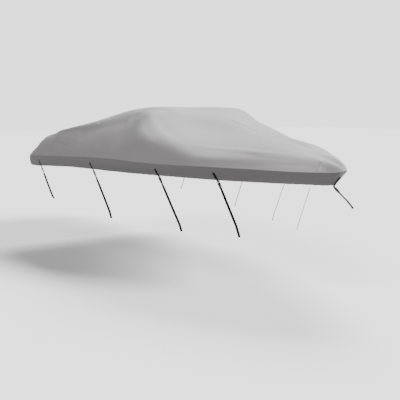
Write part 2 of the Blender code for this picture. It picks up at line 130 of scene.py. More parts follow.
# Sections of the cover from bow to stern; heights h are from the bow tip
COLUMNS = ("u", "gunwale_y", "gunwale_h", "deck_y", "deck_h", "shoulder_y",
           "shoulder_h", "crown_h", "hem_u", "hem_y", "hem_h")
SECTIONS = (
    (0.00, 0.000, 0.000, 0.000, 0.000, 0.000, 0.000, 0.000, 0.128, 0.000, -0.143),
    (0.10, 0.115, -0.020, 0.092, 0.052, 0.042, 0.075, 0.097, 0.192, 0.072, -0.149),
    (0.32, 0.323, -0.018, 0.189, 0.109, 0.062, 0.135, 0.143, 0.385, 0.226, -0.146),
    (0.70, 0.567, -0.008, 0.433, 0.139, 0.137, 0.237, 0.223, 0.732, 0.470, -0.143),
    (1.15, 0.788, -0.003, 0.659, 0.133, 0.192, 0.284, 0.308, 1.168, 0.703, -0.140),
    (1.65, 0.957, -0.005, 0.841, 0.226, 0.373, 0.333, 0.431, 1.661, 0.887, -0.136),
    (2.10, 1.089, 0.004, 0.916, 0.316, 0.487, 0.470, 0.530, 2.107, 1.028, -0.134),
    (2.40, 1.155, 0.014, 0.875, 0.380, 0.586, 0.585, 0.552, 2.404, 1.099, -0.133),
    (2.70, 1.199, 0.012, 0.945, 0.357, 0.657, 0.570, 0.600, 2.702, 1.147, -0.133),
    (3.40, 1.235, -0.008, 1.022, 0.284, 0.802, 0.454, 0.518, 3.400, 1.190, -0.144),
    (4.15, 1.246, -0.038, 1.074, 0.257, 0.909, 0.314, 0.394, 4.150, 1.208, -0.178),
    (4.58, 1.250, -0.055, 1.086, 0.192, 0.836, 0.245, 0.321, 4.578, 1.220, -0.200),
    (4.82, 1.240, -0.064, 0.992, 0.154, 0.686, 0.197, 0.223, 4.832, 1.218, -0.205),
    (4.94, 1.156, -0.046, 0.896, 0.080, 0.639, 0.104, 0.117, 4.950, 1.138, -0.202),
    (4.98, 0.955, -0.028, 0.770, -0.028, 0.560, -0.028, -0.028, 4.978, 0.940, -0.197),
)

# Broad folds, as in the solids: soft troughs from (u, y) to (u, y), half width, depth
BROAD_FOLDS = (
    (1.30, 0.00, 2.12, 0.00, 0.200, 0.006),
    (2.52, -0.79, 2.28, -0.53, 0.070, 0.018),
    (2.44, 0.90, 2.16, 0.80, 0.070, 0.010),
    (2.69, -0.83, 3.78, -0.85, 0.110, 0.014),
    (2.80, 0.84, 3.88, 0.87, 0.110, 0.012),
    (3.00, 0.05, 4.10, -0.05, 0.260, 0.012),
    (4.30, -1.10, 4.62, -0.86, 0.085, 0.012),
    (4.38, 1.10, 4.60, 0.84, 0.085, 0.010),
)

# Creases, placed one by one: side, half width, depth (a ridge is negative), points (u, v)
CREASES = (
    # short puckers where the cloth leaves its high ridge
    (-1, 0.018, 0.006, ((3.26, 1.34), (3.20, 1.50))),
    (-1, 0.017, 0.006, ((3.17, 1.48), (3.11, 1.66))),
    (-1, 0.016, 0.005, ((3.12, 1.74), (3.06, 1.90))),
    (-1, 0.060, 0.004, ((3.46, 2.05), (3.30, 2.30))),
    # starboard quarter
    (-1, 0.016, 0.004, ((4.16, 2.44), (4.05, 2.50))),
    (-1, 0.016, 0.004, ((3.96, 2.46), (3.82, 2.52), (3.62, 2.60))),
    (-1, 0.070, -0.006, ((4.62, 2.30), (4.50, 2.62), (4.36, 2.80))),
    (-1, 0.050, 0.004, ((4.42, 2.56), (4.20, 2.78), (3.84, 2.90))),
    (-1, 0.030, 0.005, ((4.74, 1.60), (4.70, 1.95), (4.60, 2.25))),
    # the long edge along the starboard bow, where the side starts to fall
    (-1, 0.038, -0.004, ((1.38, 2.34), (1.08, 2.40), (0.78, 2.44), (0.50, 2.36), (0.26, 2.16))),
    (-1, 0.018, 0.002, ((0.46, 2.62), (0.34, 2.58), (0.24, 2.46))),
    # the pull from the ridge's starboard corner down to the long bow edge
    (-1, 0.050, -0.005, ((2.44, 1.30), (2.30, 1.42), (2.15, 1.59), (2.00, 1.71), (1.81, 1.84),
                         (1.62, 1.90))),
    (-1, 0.036, -0.004, ((1.40, 1.84), (1.30, 1.80), (1.08, 1.78), (0.85, 1.85), (0.64, 2.00),
                         (0.47, 2.06), (0.32, 2.10))),
    # forward, either side of the centre seam
    (1, 0.016, 0.006, ((1.80, 0.05), (1.66, 0.12), (1.52, 0.24))),
    (-1, 0.014, 0.005, ((1.78, 0.02), (1.62, 0.04), (1.46, 0.05))),
    (1, 0.012, 0.005, ((1.52, 0.30), (1.44, 0.14))),
    (-1, 0.012, 0.005, ((1.40, 0.03), (1.33, 0.18))),
    (-1, 0.012, 0.004, ((1.36, 0.02), (1.27, 0.10))),
    (1, 0.040, 0.005, ((2.06, 0.95), (1.80, 1.05), (1.52, 1.20))),
    # port side
    (1, 0.050, -0.004, ((2.42, 1.04), (2.37, 1.30), (2.30, 1.52), (2.20, 1.76))),
    (1, 0.045, 0.004, ((2.32, 1.44), (2.22, 1.62), (2.10, 1.80))),
    (1, 0.014, 0.004, ((3.36, 1.40), (3.28, 1.58))),
    (1, 0.016, 0.005, ((4.02, 2.40), (3.84, 2.50), (3.66, 2.56))),
    (1, 0.060, -0.006, ((4.66, 2.28), (4.52, 2.58), (4.40, 2.78))),
    (1, 0.045, 0.005, ((4.46, 2.52), (4.24, 2.74), (3.98, 2.86))),
    (1, 0.036, -0.004, ((1.30, 2.36), (1.00, 2.42), (0.70, 2.42), (0.42, 2.30))),
    # stern fall
    (-1, 0.022, 0.006, ((4.70, 1.10), (4.84, 1.30), (4.93, 1.55))),
    (1, 0.022, 0.006, ((4.68, 1.15), (4.83, 1.30), (4.93, 1.60))),
    (-1, 0.030, 0.005, ((4.72, 0.40), (4.86, 0.46), (4.95, 0.50))),
    (1, 0.030, 0.005, ((4.74, 0.55), (4.86, 0.60), (4.95, 0.62))),
)

# Ties from forward aft: number, u, knee y, h, free end y, h
TIES = (
    (4, 1.046, 0.436, -0.622, 0.394, -0.743),
    (3, 1.755, 0.668, -0.690, 0.647, -0.761),
    (2, 2.880, 0.960, -0.655, 0.938, -0.741),
    (1, 4.450, 1.080, -0.600, 1.052, -0.659),
)
BOW_TIE_KNEE = (-0.045, -0.277)    # u, h
BOW_TIE_END = (-0.113, -0.333)
FIT_GAP = 0.0003           # between a tie's pieces, and under its tab
BOW_FIT_GAP = 0.0008       # under the tab at the bow, which lies across both skirts
WEB_WIDTH = 0.025
WEB_THICK = 0.002
WEB_COLUMNS = 7            # mesh columns across a band
WEB_ROUND = 0.00045        # rounding of its edges
WEB_CUP = 0.0003           # how far the webbing's edges curl back
WEB_TURN = 56.0            # degrees that the hanging webbing has turned from fore and aft
WEB_TURN_SHARE = 0.3       # share of the webbing's fall in which it turns
WEB_INSIDE = 0.0105        # how far the webbing reaches up inside the buckle
WEB_STRAIGHT = 0.004       # how far below the buckle it stays straight
WEB_SWAY = (0.0022, 0.0015)        # how far it bows out and aside as it hangs
WEB_EASE = 0.020           # length over which it bends at its knee
WEB_FOLD = 0.0013          # radius of the fold at its free end
WEB_FOLD_TAIL = 0.016      # what is folded back there
WEB_FOLD_ROOM = 0.003      # length kept for the fold
TAB_START = 0.42           # share of the skirt's depth where a tab's sewn end lies
TAB_PAST_HEM = 0.010
TAB_OVERHANG = 0.003       # how far it goes straight on past the hem before it bends
TAB_BEND = 0.007           # radius of the tab's bend over the hem
TAB_CHANNEL_START = 0.76   # where the tab starts to ride up over the hem's channel
TAB_BAR = 0.00215          # from the tab's end to the buckle's bar
TAB_LOOP = 0.00165         # radius of the tab's turn round that bar
TAB_LOOP_TAIL = 0.010      # what comes back up behind the tab
TAB_SEWN = (0.004, 0.030, 0.0085)  # its box stitch: from, to, half width
TAB_STITCH = (0.0034, 0.0014, 0.0004)      # its stitches: pitch, length, width
BUCKLE_LENGTH = 0.062
BUCKLE_WIDTH = 0.036
BUCKLE_THICK = 0.009
BUCKLE_ROUND = 0.0014      # rounding of its outer edges
BUCKLE_SOFT = 0.0003       # rounding of the edges of its slots and cuts

TAB_STEP = 0.0016          # mesh rows of the tabs, the side straps and the bow strap
STRAP_STEP = 0.004
BOW_STRAP_STEP = 0.0022

# Right half of the buckle's outline, as shares of its half width and half length
BUCKLE_OUTLINE = (
    (0.72, 1.00), (0.82, 0.90), (0.82, 0.42), (0.92, 0.34), (1.00, 0.16),
    (0.98, -0.12), (0.80, -0.26), (0.86, -0.40), (0.86, -0.90), (0.76, -1.00),
)
# Slots right through the buckle for the webbing: low and high y
BUCKLE_SLOTS = ((0.0225, 0.0275), (-0.0185, -0.0140), (-0.0268, -0.0222))
BUCKLE_SLOT_HALF = 0.0131
# Slit beside each spring arm: inner and outer x, low and high y
BUCKLE_SLIT = (0.0128, 0.0140, -0.0050, 0.0112)
# Shallow cuts in both faces: half width, low and high y, depth
BUCKLE_GROOVES = ((0.0300, -0.0058, -0.0048, 0.0007), (0.0095, 0.0010, 0.0185, 0.0006))

GREY_THREAD = (0.36, 0.355, 0.36)
BLACK_THREAD = (0.03, 0.03, 0.032)
SIDES = ((-1, "starboard"), (1, "port"))

GROUND = -1.857            # height of the floor
FLOOR_SIZE = 60.0          # half of its side
FLOOR_BOUNCE = 0.38        # share of its colour that the floor throws back up
SKY_LIGHT = 0.05           # strength of the pale room as a light
SKY_SEEN = 2.15            # and as it is seen
CAMERA_PLACE = (6.612, -4.3339, -0.0768)
CAMERA_TURN = 34.046       # degrees from the bow towards starboard
CAMERA_FALL = 7.63         # degrees that it looks down
CAMERA_LENS = 57.6         # millimetres, on a sensor 36 mm wide
# Lights: name, turn from the bow towards starboard and height in degrees, strength, size
LIGHTS = (
    ("key", -37.0, 30.0, 7.8, 20.0),
    ("high_back", -135.0, 46.0, 4.0, 24.0),
    ("side_fill", 68.0, 50.0, 1.5, 30.0),
    ("low_side", 98.0, 12.0, 0.30, 40.0),
)


def size_setting(label, about, default, low, high):
    """A setting in metres."""
    return bpy.props.FloatProperty(name=label, description=about, default=default,
                                   min=low, max=high, unit="LENGTH")


def colour_setting(label, about, default):
    """A base colour setting."""
    return bpy.props.FloatVectorProperty(name=label, description=about, default=default,
                                         size=3, min=0.0, max=1.0, subtype="COLOR")


class CoverSizes(bpy.types.PropertyGroup):
    """Sizes of the cloth, its seams and its hem."""
    cloth: size_setting("Cloth", "Thickness of the cloth sheet", 0.0018, 0.0005, 0.004)
    row_step: size_setting("Row step", "Distance between the rows of the cloth mesh",
                           0.021, 0.01, 0.1)
    columns: bpy.props.IntProperty(
        name="Columns", description="Mesh columns from the crown to the gunwale",
        default=78, min=20, max=200)
    seam_width: size_setting("Seam width", "Width of a felled seam on each side",
                             0.013, 0.004, 0.04)
    seam_rise: size_setting("Seam rise", "How far a felled seam stands proud",
                            0.0016, 0.0, 0.004)
    crease_scale: bpy.props.FloatProperty(
        name="Creases", description="Strength of the placed creases",
        default=1.0, min=0.0, max=2.0)
    hem_radius: size_setting("Hem channel radius", "Radius of the rolled hem's channel",
                             0.0055, 0.002, 0.02)
    hem_turn: size_setting("Hem turn", "Height of the turned-in hem", 0.026, 0.01, 0.06)
    stitch_pitch: size_setting("Stitch pitch", "Distance from stitch to stitch",
                               0.009, 0.003, 0.03)


class CoverColours(bpy.types.PropertyGroup):
    """Base colours of the finishes; the skirt's darker grey is painted shade on the same cloth
    as the upper.
    """
    cloth: colour_setting("Cloth", "Grey of the upper cloth", (0.306, 0.293, 0.297))
    # painted shade: the skirt is the same cloth as the upper, and this darker grey stands in for
    # the shade under the gunwale fold
    skirt: colour_setting("Skirt", "Grey of the skirt", (0.190, 0.181, 0.184))
    webbing: colour_setting("Webbing", "Black of the webbing", (0.012, 0.012, 0.013))
    buckle: colour_setting("Buckle", "Black of the moulded buckles", (0.014, 0.014, 0.015))
    floor: colour_setting("Floor", "Colour of the floor", (0.92, 0.92, 0.92))


def sizes():
    """The sizes that a user can change."""
    return bpy.context.scene.cover_sizes


def colours():
    """The colours that a user can change."""
    return bpy.context.scene.cover_colours


# ---------------------------------------------------------------- the cover's surface

TABLE = np.array(SECTIONS)
STATION_ROOTS = np.sqrt(TABLE[:, 0])


def table_slopes(x, y):
    """Slopes that keep a smooth curve through the rows from overshooting them."""
    step = np.diff(x)
    rise = np.diff(y, axis=0) / step[:, None]
    slope = np.zeros_like(y)
    before, after = rise[:-1], rise[1:]
    w_before = (2.0 * step[1:] + step[:-1])[:, None]
    w_after = (step[1:] + 2.0 * step[:-1])[:, None]
    same = before * after > 0.0
    safe_before = np.where(same, before, 1.0)
    safe_after = np.where(same, after, 1.0)
    mean = (w_before + w_after) / (w_before / safe_before + w_after / safe_after)
    slope[1:-1] = np.where(same, mean, 0.0)
    slope[0] = rise[0]
    slope[-1] = rise[-1]
    return slope


TABLE_SLOPES = table_slopes(STATION_ROOTS, TABLE)


def sections(u):
    """The sections at stations u, as a dictionary of arrays."""
    root = np.sqrt(np.clip(np.atleast_1d(u).astype(float), 0.0, LENGTH))
    k = np.clip(np.searchsorted(STATION_ROOTS, root, side="right") - 1, 0,
                len(STATION_ROOTS) - 2)
    step = (STATION_ROOTS[k + 1] - STATION_ROOTS[k])[:, None]
    t = (root - STATION_ROOTS[k])[:, None] / step
    rows = (TABLE[k] * (1 + 2 * t) * (1 - t) ** 2
            + TABLE_SLOPES[k] * step * t * (1 - t) ** 2
            + TABLE[k + 1] * t * t * (3 - 2 * t)
            + TABLE_SLOPES[k + 1] * step * t * t * (t - 1))
    return {name: rows[:, i] for i, name in enumerate(COLUMNS)}


def place(u, y, h):
    """Stations, half breadths and heights as points of the part's frame."""
    u, y, h = np.broadcast_arrays(u, y, h)
    return np.stack((TOP_STATION - u, y, h - TOP_HEIGHT), axis=-1).astype(float)


def between(p0, p1, p2, p3, t):
    """The smooth curve from p1 to p2 that comes from p0 and goes on to p3."""
    return 0.5 * (2 * p1 + (p2 - p0) * t + (2 * p0 - 5 * p1 + 4 * p2 - p3) * t * t
                  + (3 * p1 - p0 - 3 * p2 + p3) * t ** 3)


def upper_points(u, v, side):
    """Smooth upper cloth at stations u (n) and section values v (n, m)."""
    s = sections(u)
    zero = np.zeros_like(s["crown_h"])
    knots_y = np.stack((-s["shoulder_y"], zero, s["shoulder_y"], s["deck_y"],
                        s["gunwale_y"], s["gunwale_y"]), axis=1)
    past_h = (1.0 + GUNWALE_RUN_ON) * s["gunwale_h"] - GUNWALE_RUN_ON * s["deck_h"]
    knots_h = np.stack((s["shoulder_h"], s["crown_h"], s["shoulder_h"], s["deck_h"],
                        s["gunwale_h"], past_h), axis=1)
    span = np.clip(v.astype(int), 0, 2)
    t = v - span
    row = np.arange(len(v))[:, None]

    def through(knots):
        return between(*(knots[row, span + i] for i in range(4)), t)

    return place(np.atleast_1d(u)[:, None], side * through(knots_y), through(knots_h))


def gunwale_points(u, side):
    """The gunwale fold at stations u."""
    s = sections(u)
    return place(u, side * s["gunwale_y"], s["gunwale_h"])


def skirt_points(u, b, side):
    """Side skirt at stations u (n, 1) and shares b (n, m): 0 gunwale, 1 hem."""
    s = sections(u[:, 0])
    top = gunwale_points(u[:, 0], side)[:, None]
    hem = place(s["hem_u"], side * s["hem_y"], s["hem_h"])[:, None]
    belly = 4.0 * b * (1.0 - b) * SKIRT_BULGE * np.minimum(1.0, u / SKIRT_BULGE_START)
    stern = SKIRT_TURN * np.maximum(0.0, (u - SKIRT_TURN_START) / (LENGTH - SKIRT_TURN_START))
    out = np.stack((-np.sin(stern), side * np.cos(stern), 0 * stern), axis=-1)
    return top + (hem - top) * b[..., None] + out * belly[..., None]


def skirt_point(u, b, side):
    """One point of a side skirt."""
    return skirt_points(np.array([[u]]), np.array([[b]]), side)[0, 0]


def transom_points(w, b):
    """Skirt across the stern at w (n, 1), from -1 starboard to 1 port."""
    s = sections(LENGTH)
    top = place(LENGTH, w * s["gunwale_y"], s["gunwale_h"])
    hem = place(s["hem_u"], w * s["hem_y"], s["hem_h"])
    belly = 4.0 * b * (1.0 - b) * SKIRT_BULGE
    turn = w * (0.5 * math.pi - SKIRT_TURN)
    out = np.stack((-np.cos(turn), np.sin(turn), 0 * turn), axis=-1)
    return top + (hem - top) * b[..., None] + out * belly[..., None]


def smooth_step(x):
    """Rises smoothly from 0 to 1 while x goes from 0 to 1."""
    x = np.clip(x, 0.0, 1.0)
    return x * x * (3.0 - 2.0 * x)


def segment_distance(points, a, b):
    """Distance of points to the segment a-b, and the share along it."""
    along = b - a
    length = max(float(np.dot(along, along)), 1e-12)
    t = np.clip(((points - a) @ along) / length, 0.0, 1.0)
    return np.linalg.norm(points - (a + t[..., None] * along), axis=-1), t


def smooth_line(points, per_span):
    """A smooth polyline through the points."""
    points = np.array(points, dtype=float)
    ends = np.vstack((2 * points[0] - points[1], points, 2 * points[-1] - points[-2]))
    line = [between(*ends[k:k + 4], t) for k in range(len(points) - 1)
            for t in np.arange(per_span) / per_span]
    return np.array(line + [points[-1]])


def crease_press(points):
    """How far the placed creases press the cloth in at each point."""
    total = np.zeros(points.shape[:-1])
    for side, half_width, depth, marks in CREASES:
        marks = smooth_line(marks, CREASE_STEPS)
        line = np.array([upper_points(np.array([u]), np.array([[v]]), side)[0, 0]
                         for u, v in marks])
        near = np.full(total.shape, 1e9)
        along = np.zeros(total.shape)
        count = len(line) - 1
        for i in range(count):
            gap, t = segment_distance(points, line[i], line[i + 1])
            closer = gap < near
            near = np.where(closer, gap, near)
            along = np.where(closer, (i + t) / count, along)
        middle = np.sin(np.pi * np.clip(along, 0.0, 1.0)) ** CREASE_SWELL
        taper = CREASE_ENDS + (1.0 - CREASE_ENDS) * middle
        x = near / half_width
        rim = CREASE_RIM * np.exp(-(x - CREASE_RIM_PLACE) ** 2 / CREASE_RIM_SPREAD)
        total += depth * taper * (np.exp(-x * x) - rim)
    return total * sizes().crease_scale


def broad_press(points):
    """How far the broad folds press the cloth in at each point."""
    u = TOP_STATION - points[..., 0]
    y = points[..., 1]
    total = np.zeros(u.shape)
    for u0, y0, u1, y1, half_width, depth in BROAD_FOLDS:
        length = math.hypot(u1 - u0, y1 - y0)
        du, dy = (u1 - u0) / length, (y1 - y0) / length
        t = (u - u0) * du + (y - y0) * dy
        off = (y - y0) * du - (u - u0) * dy
        past = np.maximum(np.maximum(-t, t - length), 0.0)
        total += depth * np.exp(-(off * off + past * past) / half_width ** 2)
    return total


def wave_field(points):
    """Low uneven waves of slack cloth, the same on every run."""
    x, y, z = points[..., 0], points[..., 1], points[..., 2]
    a = np.sin(5.1 * x + 2.3 * y + 1.1 * np.sin(3.7 * y + 0.6)) * np.sin(4.3 * y - 1.9 * x + 0.8)
    b = np.sin(11.7 * x - 7.9 * y + 1.9 * np.sin(5.3 * x + 2.0) + 2.2 * z)
    c = np.sin(9.1 * y + 13.3 * z + 1.3 * np.sin(6.1 * x) + 4.0)
    d = np.sin(23.0 * x + 17.0 * y + 2.0 * np.sin(8.0 * y + 3.0 * x) + 9.0 * z)
    return 0.0020 * a + 0.0011 * b + 0.0010 * c + 0.0004 * d


def turned_to(vectors, outward):
    """The vectors, each flipped where it points away from its outward direction."""
    flip = np.sum(vectors * outward, axis=-1, keepdims=True) < 0.0
    return np.where(flip, -vectors, vectors)


def seam_rise(distance):
    """Height of a felled seam at a distance from its edge, with its two sewn rows."""
    width, rise = sizes().seam_width, sizes().seam_rise
    plate = rise * (1.0 - smooth_step((distance - width + SEAM_SLOPE_INSIDE) / SEAM_SLOPE))
    for row in (FIRST_STITCHES, width - LAST_STITCHES):
        plate -= STITCH_DIP * rise * np.exp(-((distance - row) / STITCH_DIP_WIDTH) ** 2)
    return plate


# ---------------------------------------------------------------- mesh helpers

SEWN = {}        # stitch rows that the cloth pieces leave for the sewing: name -> rows


def unit(vectors):
    """The vectors at length one."""
    vectors = np.asarray(vectors, dtype=float)
    return vectors / np.maximum(np.linalg.norm(vectors, axis=-1, keepdims=True), 1e-12)


def seam_marks():
    """Distances from a seam's edge where the mesh needs a line of its own."""
    width = sizes().seam_width
    return np.array((0.0, 0.0012, FIRST_STITCHES, 0.0046, 0.0074, width - LAST_STITCHES,
                     width - 0.0012, width + 0.0010, width + 0.0060))


STITCHED = (2, 5)    # which of the seam marks carry a row of stitches


def run_lengths(points, axis=0):
    """Length run along the grid lines of one axis, from the first point."""
    step = np.linalg.norm(np.diff(points, axis=axis), axis=-1)
    start = np.zeros_like(np.take(step, [0], axis=axis))
    return np.concatenate((start, np.cumsum(step, axis=axis)), axis=axis)


def moved_grid(points, uv):
    """A grid whose vertices are moved onto the points, with a UV map in metres."""
    rows, columns = points.shape[:2]
    bm = bmesh.new()
    bmesh.ops.create_grid(bm, x_segments=rows - 1, y_segments=columns - 1, size=1.0)
    if len(bm.verts) != rows * columns:
        raise RuntimeError("The cloth grid has the wrong number of vertices")
    layer = bm.loops.layers.uv.new("cloth")
    cells = [(int(round((vert.co.x + 1.0) / 2.0 * (rows - 1))),
              int(round((vert.co.y + 1.0) / 2.0 * (columns - 1)))) for vert in bm.verts]
    bm.verts.index_update()
    for face in bm.faces:
        for loop in face.loops:
            loop[layer].uv = uv[cells[loop.vert.index]]
    for vert, cell in zip(bm.verts, cells):
        vert.co = points[cell]
    return bm


def mesh_object(name, bm, material, sharp=None):
    """An object in the scene from a bmesh, smooth apart from edges sharper than sharp."""
    mesh = bpy.data.meshes.new(name)
    bm.to_mesh(mesh)
    bm.free()
    obj = bpy.data.objects.new(name, mesh)
    bpy.context.scene.collection.objects.link(obj)
    mesh.materials.append(material)
    mesh.shade_smooth()
    if sharp is not None:
        mesh.set_sharp_from_angle(angle=math.radians(sharp))
    return obj


def apply_modifiers(obj):
    """Turn an object's evaluated shape into its mesh."""
    graph = bpy.context.evaluated_depsgraph_get()
    mesh = bpy.data.meshes.new_from_object(obj.evaluated_get(graph))
    old = obj.data
    obj.modifiers.clear()
    obj.data = mesh
    bpy.data.meshes.remove(old)
    mesh.name = obj.name


def cloth_sheet(name, points, uv, core, material, pole=False):
    """A closed sheet of cloth on the points; it thickens away from its outer face."""
    bm = moved_grid(points, uv)
    if pole:
        bmesh.ops.remove_doubles(bm, verts=bm.verts, dist=1e-6)
    bm.normal_update()
    face = max(bm.faces, key=lambda f: f.calc_area())
    if face.normal.dot(face.calc_center_median() - Vector(core)) < 0.0:
        bmesh.ops.reverse_faces(bm, faces=bm.faces)
    obj = mesh_object(name, bm, material)
    wall = obj.modifiers.new("Cloth", "SOLIDIFY")
    wall.thickness = sizes().cloth
    wall.offset = -1.0
    apply_modifiers(obj)
    return obj


def soften_edges(obj, width, angle):
    """Round the edges sharper than an angle in degrees, and apply what is on the object."""
    soft = obj.modifiers.new("Soft edge", "BEVEL")
    soft.width = width
    soft.segments = 2
    soft.limit_method = "ANGLE"
    soft.angle_limit = math.radians(angle)
    apply_modifiers(obj)


def stitch_places(rows, pitch, length, width):
    """A placing matrix for each stitch along lines of (points, normals)."""
    places = []
    for points, normals in rows:
        run = run_lengths(points)
        count = max(1, int(run[-1] / pitch))
        at = (np.arange(count) + 0.5) * run[-1] / count
        here, after, before, up = (
            np.stack([np.interp(where, run, field[:, i]) for i in range(3)], axis=1)
            for field, where in ((points, at), (points, at + STITCH_AIM),
                                 (points, at - STITCH_AIM), (normals, at)))
        along = unit(after - before)
        up = unit(up - along * np.sum(up * along, axis=1, keepdims=True))
        aside = np.cross(up, along)
        for k in range(count):
            turn = Matrix((along[k] * length, aside[k] * width,
                           up[k] * width * STITCH_HEIGHT))
            places.append(Matrix.Translation(here[k]) @ turn.transposed().to_4x4())
    return places


def stitch_rows(name, rows, material, pitch=None, length=STITCH_LENGTH, width=STITCH_WIDTH):
    """Rows of raised stitches along lines of (points, normals), in short batches."""
    places = stitch_places(rows, pitch or sizes().stitch_pitch, length, width)
    whole = bmesh.new()
    batch_mesh = bpy.data.meshes.new("stitch_batch")
    for start in range(0, len(places), STITCH_BATCH):
        batch = bmesh.new()
        for place_matrix in places[start:start + STITCH_BATCH]:
            bmesh.ops.create_icosphere(batch, subdivisions=1, radius=1.0,
                                       matrix=place_matrix)
        batch.to_mesh(batch_mesh)
        batch.free()
        whole.from_mesh(batch_mesh)
    bpy.data.meshes.remove(batch_mesh)
    obj = mesh_object(name, whole, material)
    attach(obj, "root")
    return obj


def strip_frames(path, width_axes, outward):
    """Across and face directions along a band; the face starts towards outward."""
    ahead = unit(np.gradient(path, axis=0))
    across = unit(width_axes - ahead * np.sum(ahead * width_axes, axis=1, keepdims=True))
    face = np.cross(ahead, across)
    if face[0] @ outward < 0.0:
        face = -face
    return across, face


def resampled(path, field, step):
    """A field along the path, read at even steps of it."""
    run = run_lengths(path)
    at = np.linspace(0.0, run[-1], max(3, int(round(run[-1] / step)) + 1))
    return np.stack([np.interp(at, run, field[:, i]) for i in range(3)], axis=1)


def webbing_band(name, path, width_axes, outward, step):
    """A webbing band along a path: slightly cupped, with soft edges.

    width_axes is one direction across the band, or one for each point."""
    width_axes = resampled(path, np.broadcast_to(width_axes, path.shape), step)
    path = resampled(path, path, step)
    across, face = strip_frames(path, width_axes, outward)
    places = np.linspace(-0.5, 0.5, WEB_COLUMNS)
    points = (path[:, None] + across[:, None] * (places * WEB_WIDTH)[None, :, None]
              - face[:, None] * (WEB_CUP * 4.0 * places ** 2)[None, :, None])
    run = run_lengths(path)
    uv = np.stack(np.broadcast_arrays(places * WEB_WIDTH, run[:, None]), axis=-1)
    bm = moved_grid(points, uv)
    bm.normal_update()
    bm.faces.ensure_lookup_table()
    first = bm.faces[0]
    if first.normal.dot(Vector(face[0])) < 0.0:
        bmesh.ops.reverse_faces(bm, faces=bm.faces)
    obj = mesh_object(name, bm, get_material("webbing", webbing_material), sharp=50)
    wall = obj.modifiers.new("Band", "SOLIDIFY")
    wall.thickness = WEB_THICK
    wall.offset = 0.0
    soften_edges(obj, WEB_ROUND, 60)
    return obj, path, across, face


# ---------------------------------------------------------------- materials

def shader_group(name, inputs, outputs):
    """An empty node group with named inputs (name, kind, default) and outputs."""
    group = bpy.data.node_groups.new(name, "ShaderNodeTree")
    for label, kind, default in inputs:
        socket = group.interface.new_socket(name=label, in_out="INPUT", socket_type=kind)
        if default is not None:
            socket.default_value = default
    for label, kind in outputs:
        group.interface.new_socket(name=label, in_out="OUTPUT", socket_type=kind)
    return group, group.nodes.new("NodeGroupInput"), group.nodes.new("NodeGroupOutput")


def math_node(tree, operation, a, b=None, c=None):
    """A maths node on numbers and sockets; it gives its output socket."""
    node = tree.nodes.new("ShaderNodeMath")
    node.operation = operation
    for index, value in enumerate((a, b, c)):
        if value is None:
            continue
        if isinstance(value, (int, float)):
            node.inputs[index].default_value = value
        else:
            tree.links.new(value, node.inputs[index])
    return node.outputs[0]


def weave_group():
    """Plain weave from UVs in metres: thread height, and a painted shade that darkens the low
    places between the threads.
    """
    group, start, end = shader_group(
        "plain_weave",
        (("UV", "NodeSocketVector", None), ("Threads per metre", "NodeSocketFloat", 900.0)),
        (("Height", "NodeSocketFloat"), ("Shade", "NodeSocketFloat")))
    split = group.nodes.new("ShaderNodeSeparateXYZ")
    group.links.new(start.outputs["UV"], split.inputs[0])
    waves = []
    for axis in ("X", "Y"):
        turns = math_node(group, "MULTIPLY", split.outputs[axis],
                          start.outputs["Threads per metre"])
        waves.append(math_node(group, "SINE", math_node(group, "MULTIPLY", turns, math.pi)))
    over = math_node(group, "MULTIPLY", waves[0], waves[1])
    warp = math_node(group, "ABSOLUTE", waves[0])
    weft = math_node(group, "ABSOLUTE", waves[1])
    sign = math_node(group, "GREATER_THAN", over, 0.0)
    top = math_node(group, "MULTIPLY", warp, sign)
    low = math_node(group, "MULTIPLY", weft, math_node(group, "SUBTRACT", 1.0, sign))
    height = math_node(group, "ADD", top, low)
    group.links.new(height, end.inputs["Height"])
    # painted shade: the colour is darker where the threads dip
    group.links.new(math_node(group, "MULTIPLY_ADD", height, 0.16, 0.92), end.inputs["Shade"])
    return group


def mottle_group():
    """Slow and fine unevenness of a coated cloth that has been out of doors."""
    group, start, end = shader_group(
        "cloth_mottle",
        (("Vector", "NodeSocketVector", None), ("Broad scale", "NodeSocketFloat", 2.0),
         ("Fine scale", "NodeSocketFloat", 34.0), ("Amount", "NodeSocketFloat", 0.10)),
        (("Shade", "NodeSocketFloat"), ("Rumple", "NodeSocketFloat")))
    broad = group.nodes.new("ShaderNodeTexNoise")
    fine = group.nodes.new("ShaderNodeTexNoise")
    for node, scale, detail in ((broad, "Broad scale", 4.0), (fine, "Fine scale", 5.0)):
        group.links.new(start.outputs["Vector"], node.inputs["Vector"])
        group.links.new(start.outputs[scale], node.inputs["Scale"])
        node.inputs["Detail"].default_value = detail
        node.inputs["Roughness"].default_value = 0.55
    mix = math_node(group, "MULTIPLY_ADD", fine.outputs["Fac"], 0.4,
                    math_node(group, "MULTIPLY", broad.outputs["Fac"], 0.6))
    centred = math_node(group, "SUBTRACT", mix, 0.5)
    shade = math_node(group, "MULTIPLY_ADD", centred, start.outputs["Amount"], 1.0)
    group.links.new(shade, end.inputs["Shade"])
    group.links.new(mix, end.inputs["Rumple"])
    return group


def place_group(tree, name, maker, values):
    """The named node group, made once, placed in a material with its own values."""
    node = tree.nodes.new("ShaderNodeGroup")
    node.node_tree = bpy.data.node_groups.get(name) or maker()
    for label, value in values.items():
        if hasattr(value, "is_linked"):
            tree.links.new(value, node.inputs[label])
        else:
            node.inputs[label].default_value = value
    return node


def place_weave(tree, uv, threads):
    """The plain weave on UVs in metres, at so many threads per metre."""
    return place_group(tree, "plain_weave", weave_group,
                       {"UV": uv, "Threads per metre": threads})


def place_mottle(tree, vector, broad, fine, amount):
    """The mottle at its two scales and its amount."""
    return place_group(tree, "cloth_mottle", mottle_group,
                       {"Vector": vector, "Broad scale": broad, "Fine scale": fine,
                        "Amount": amount})


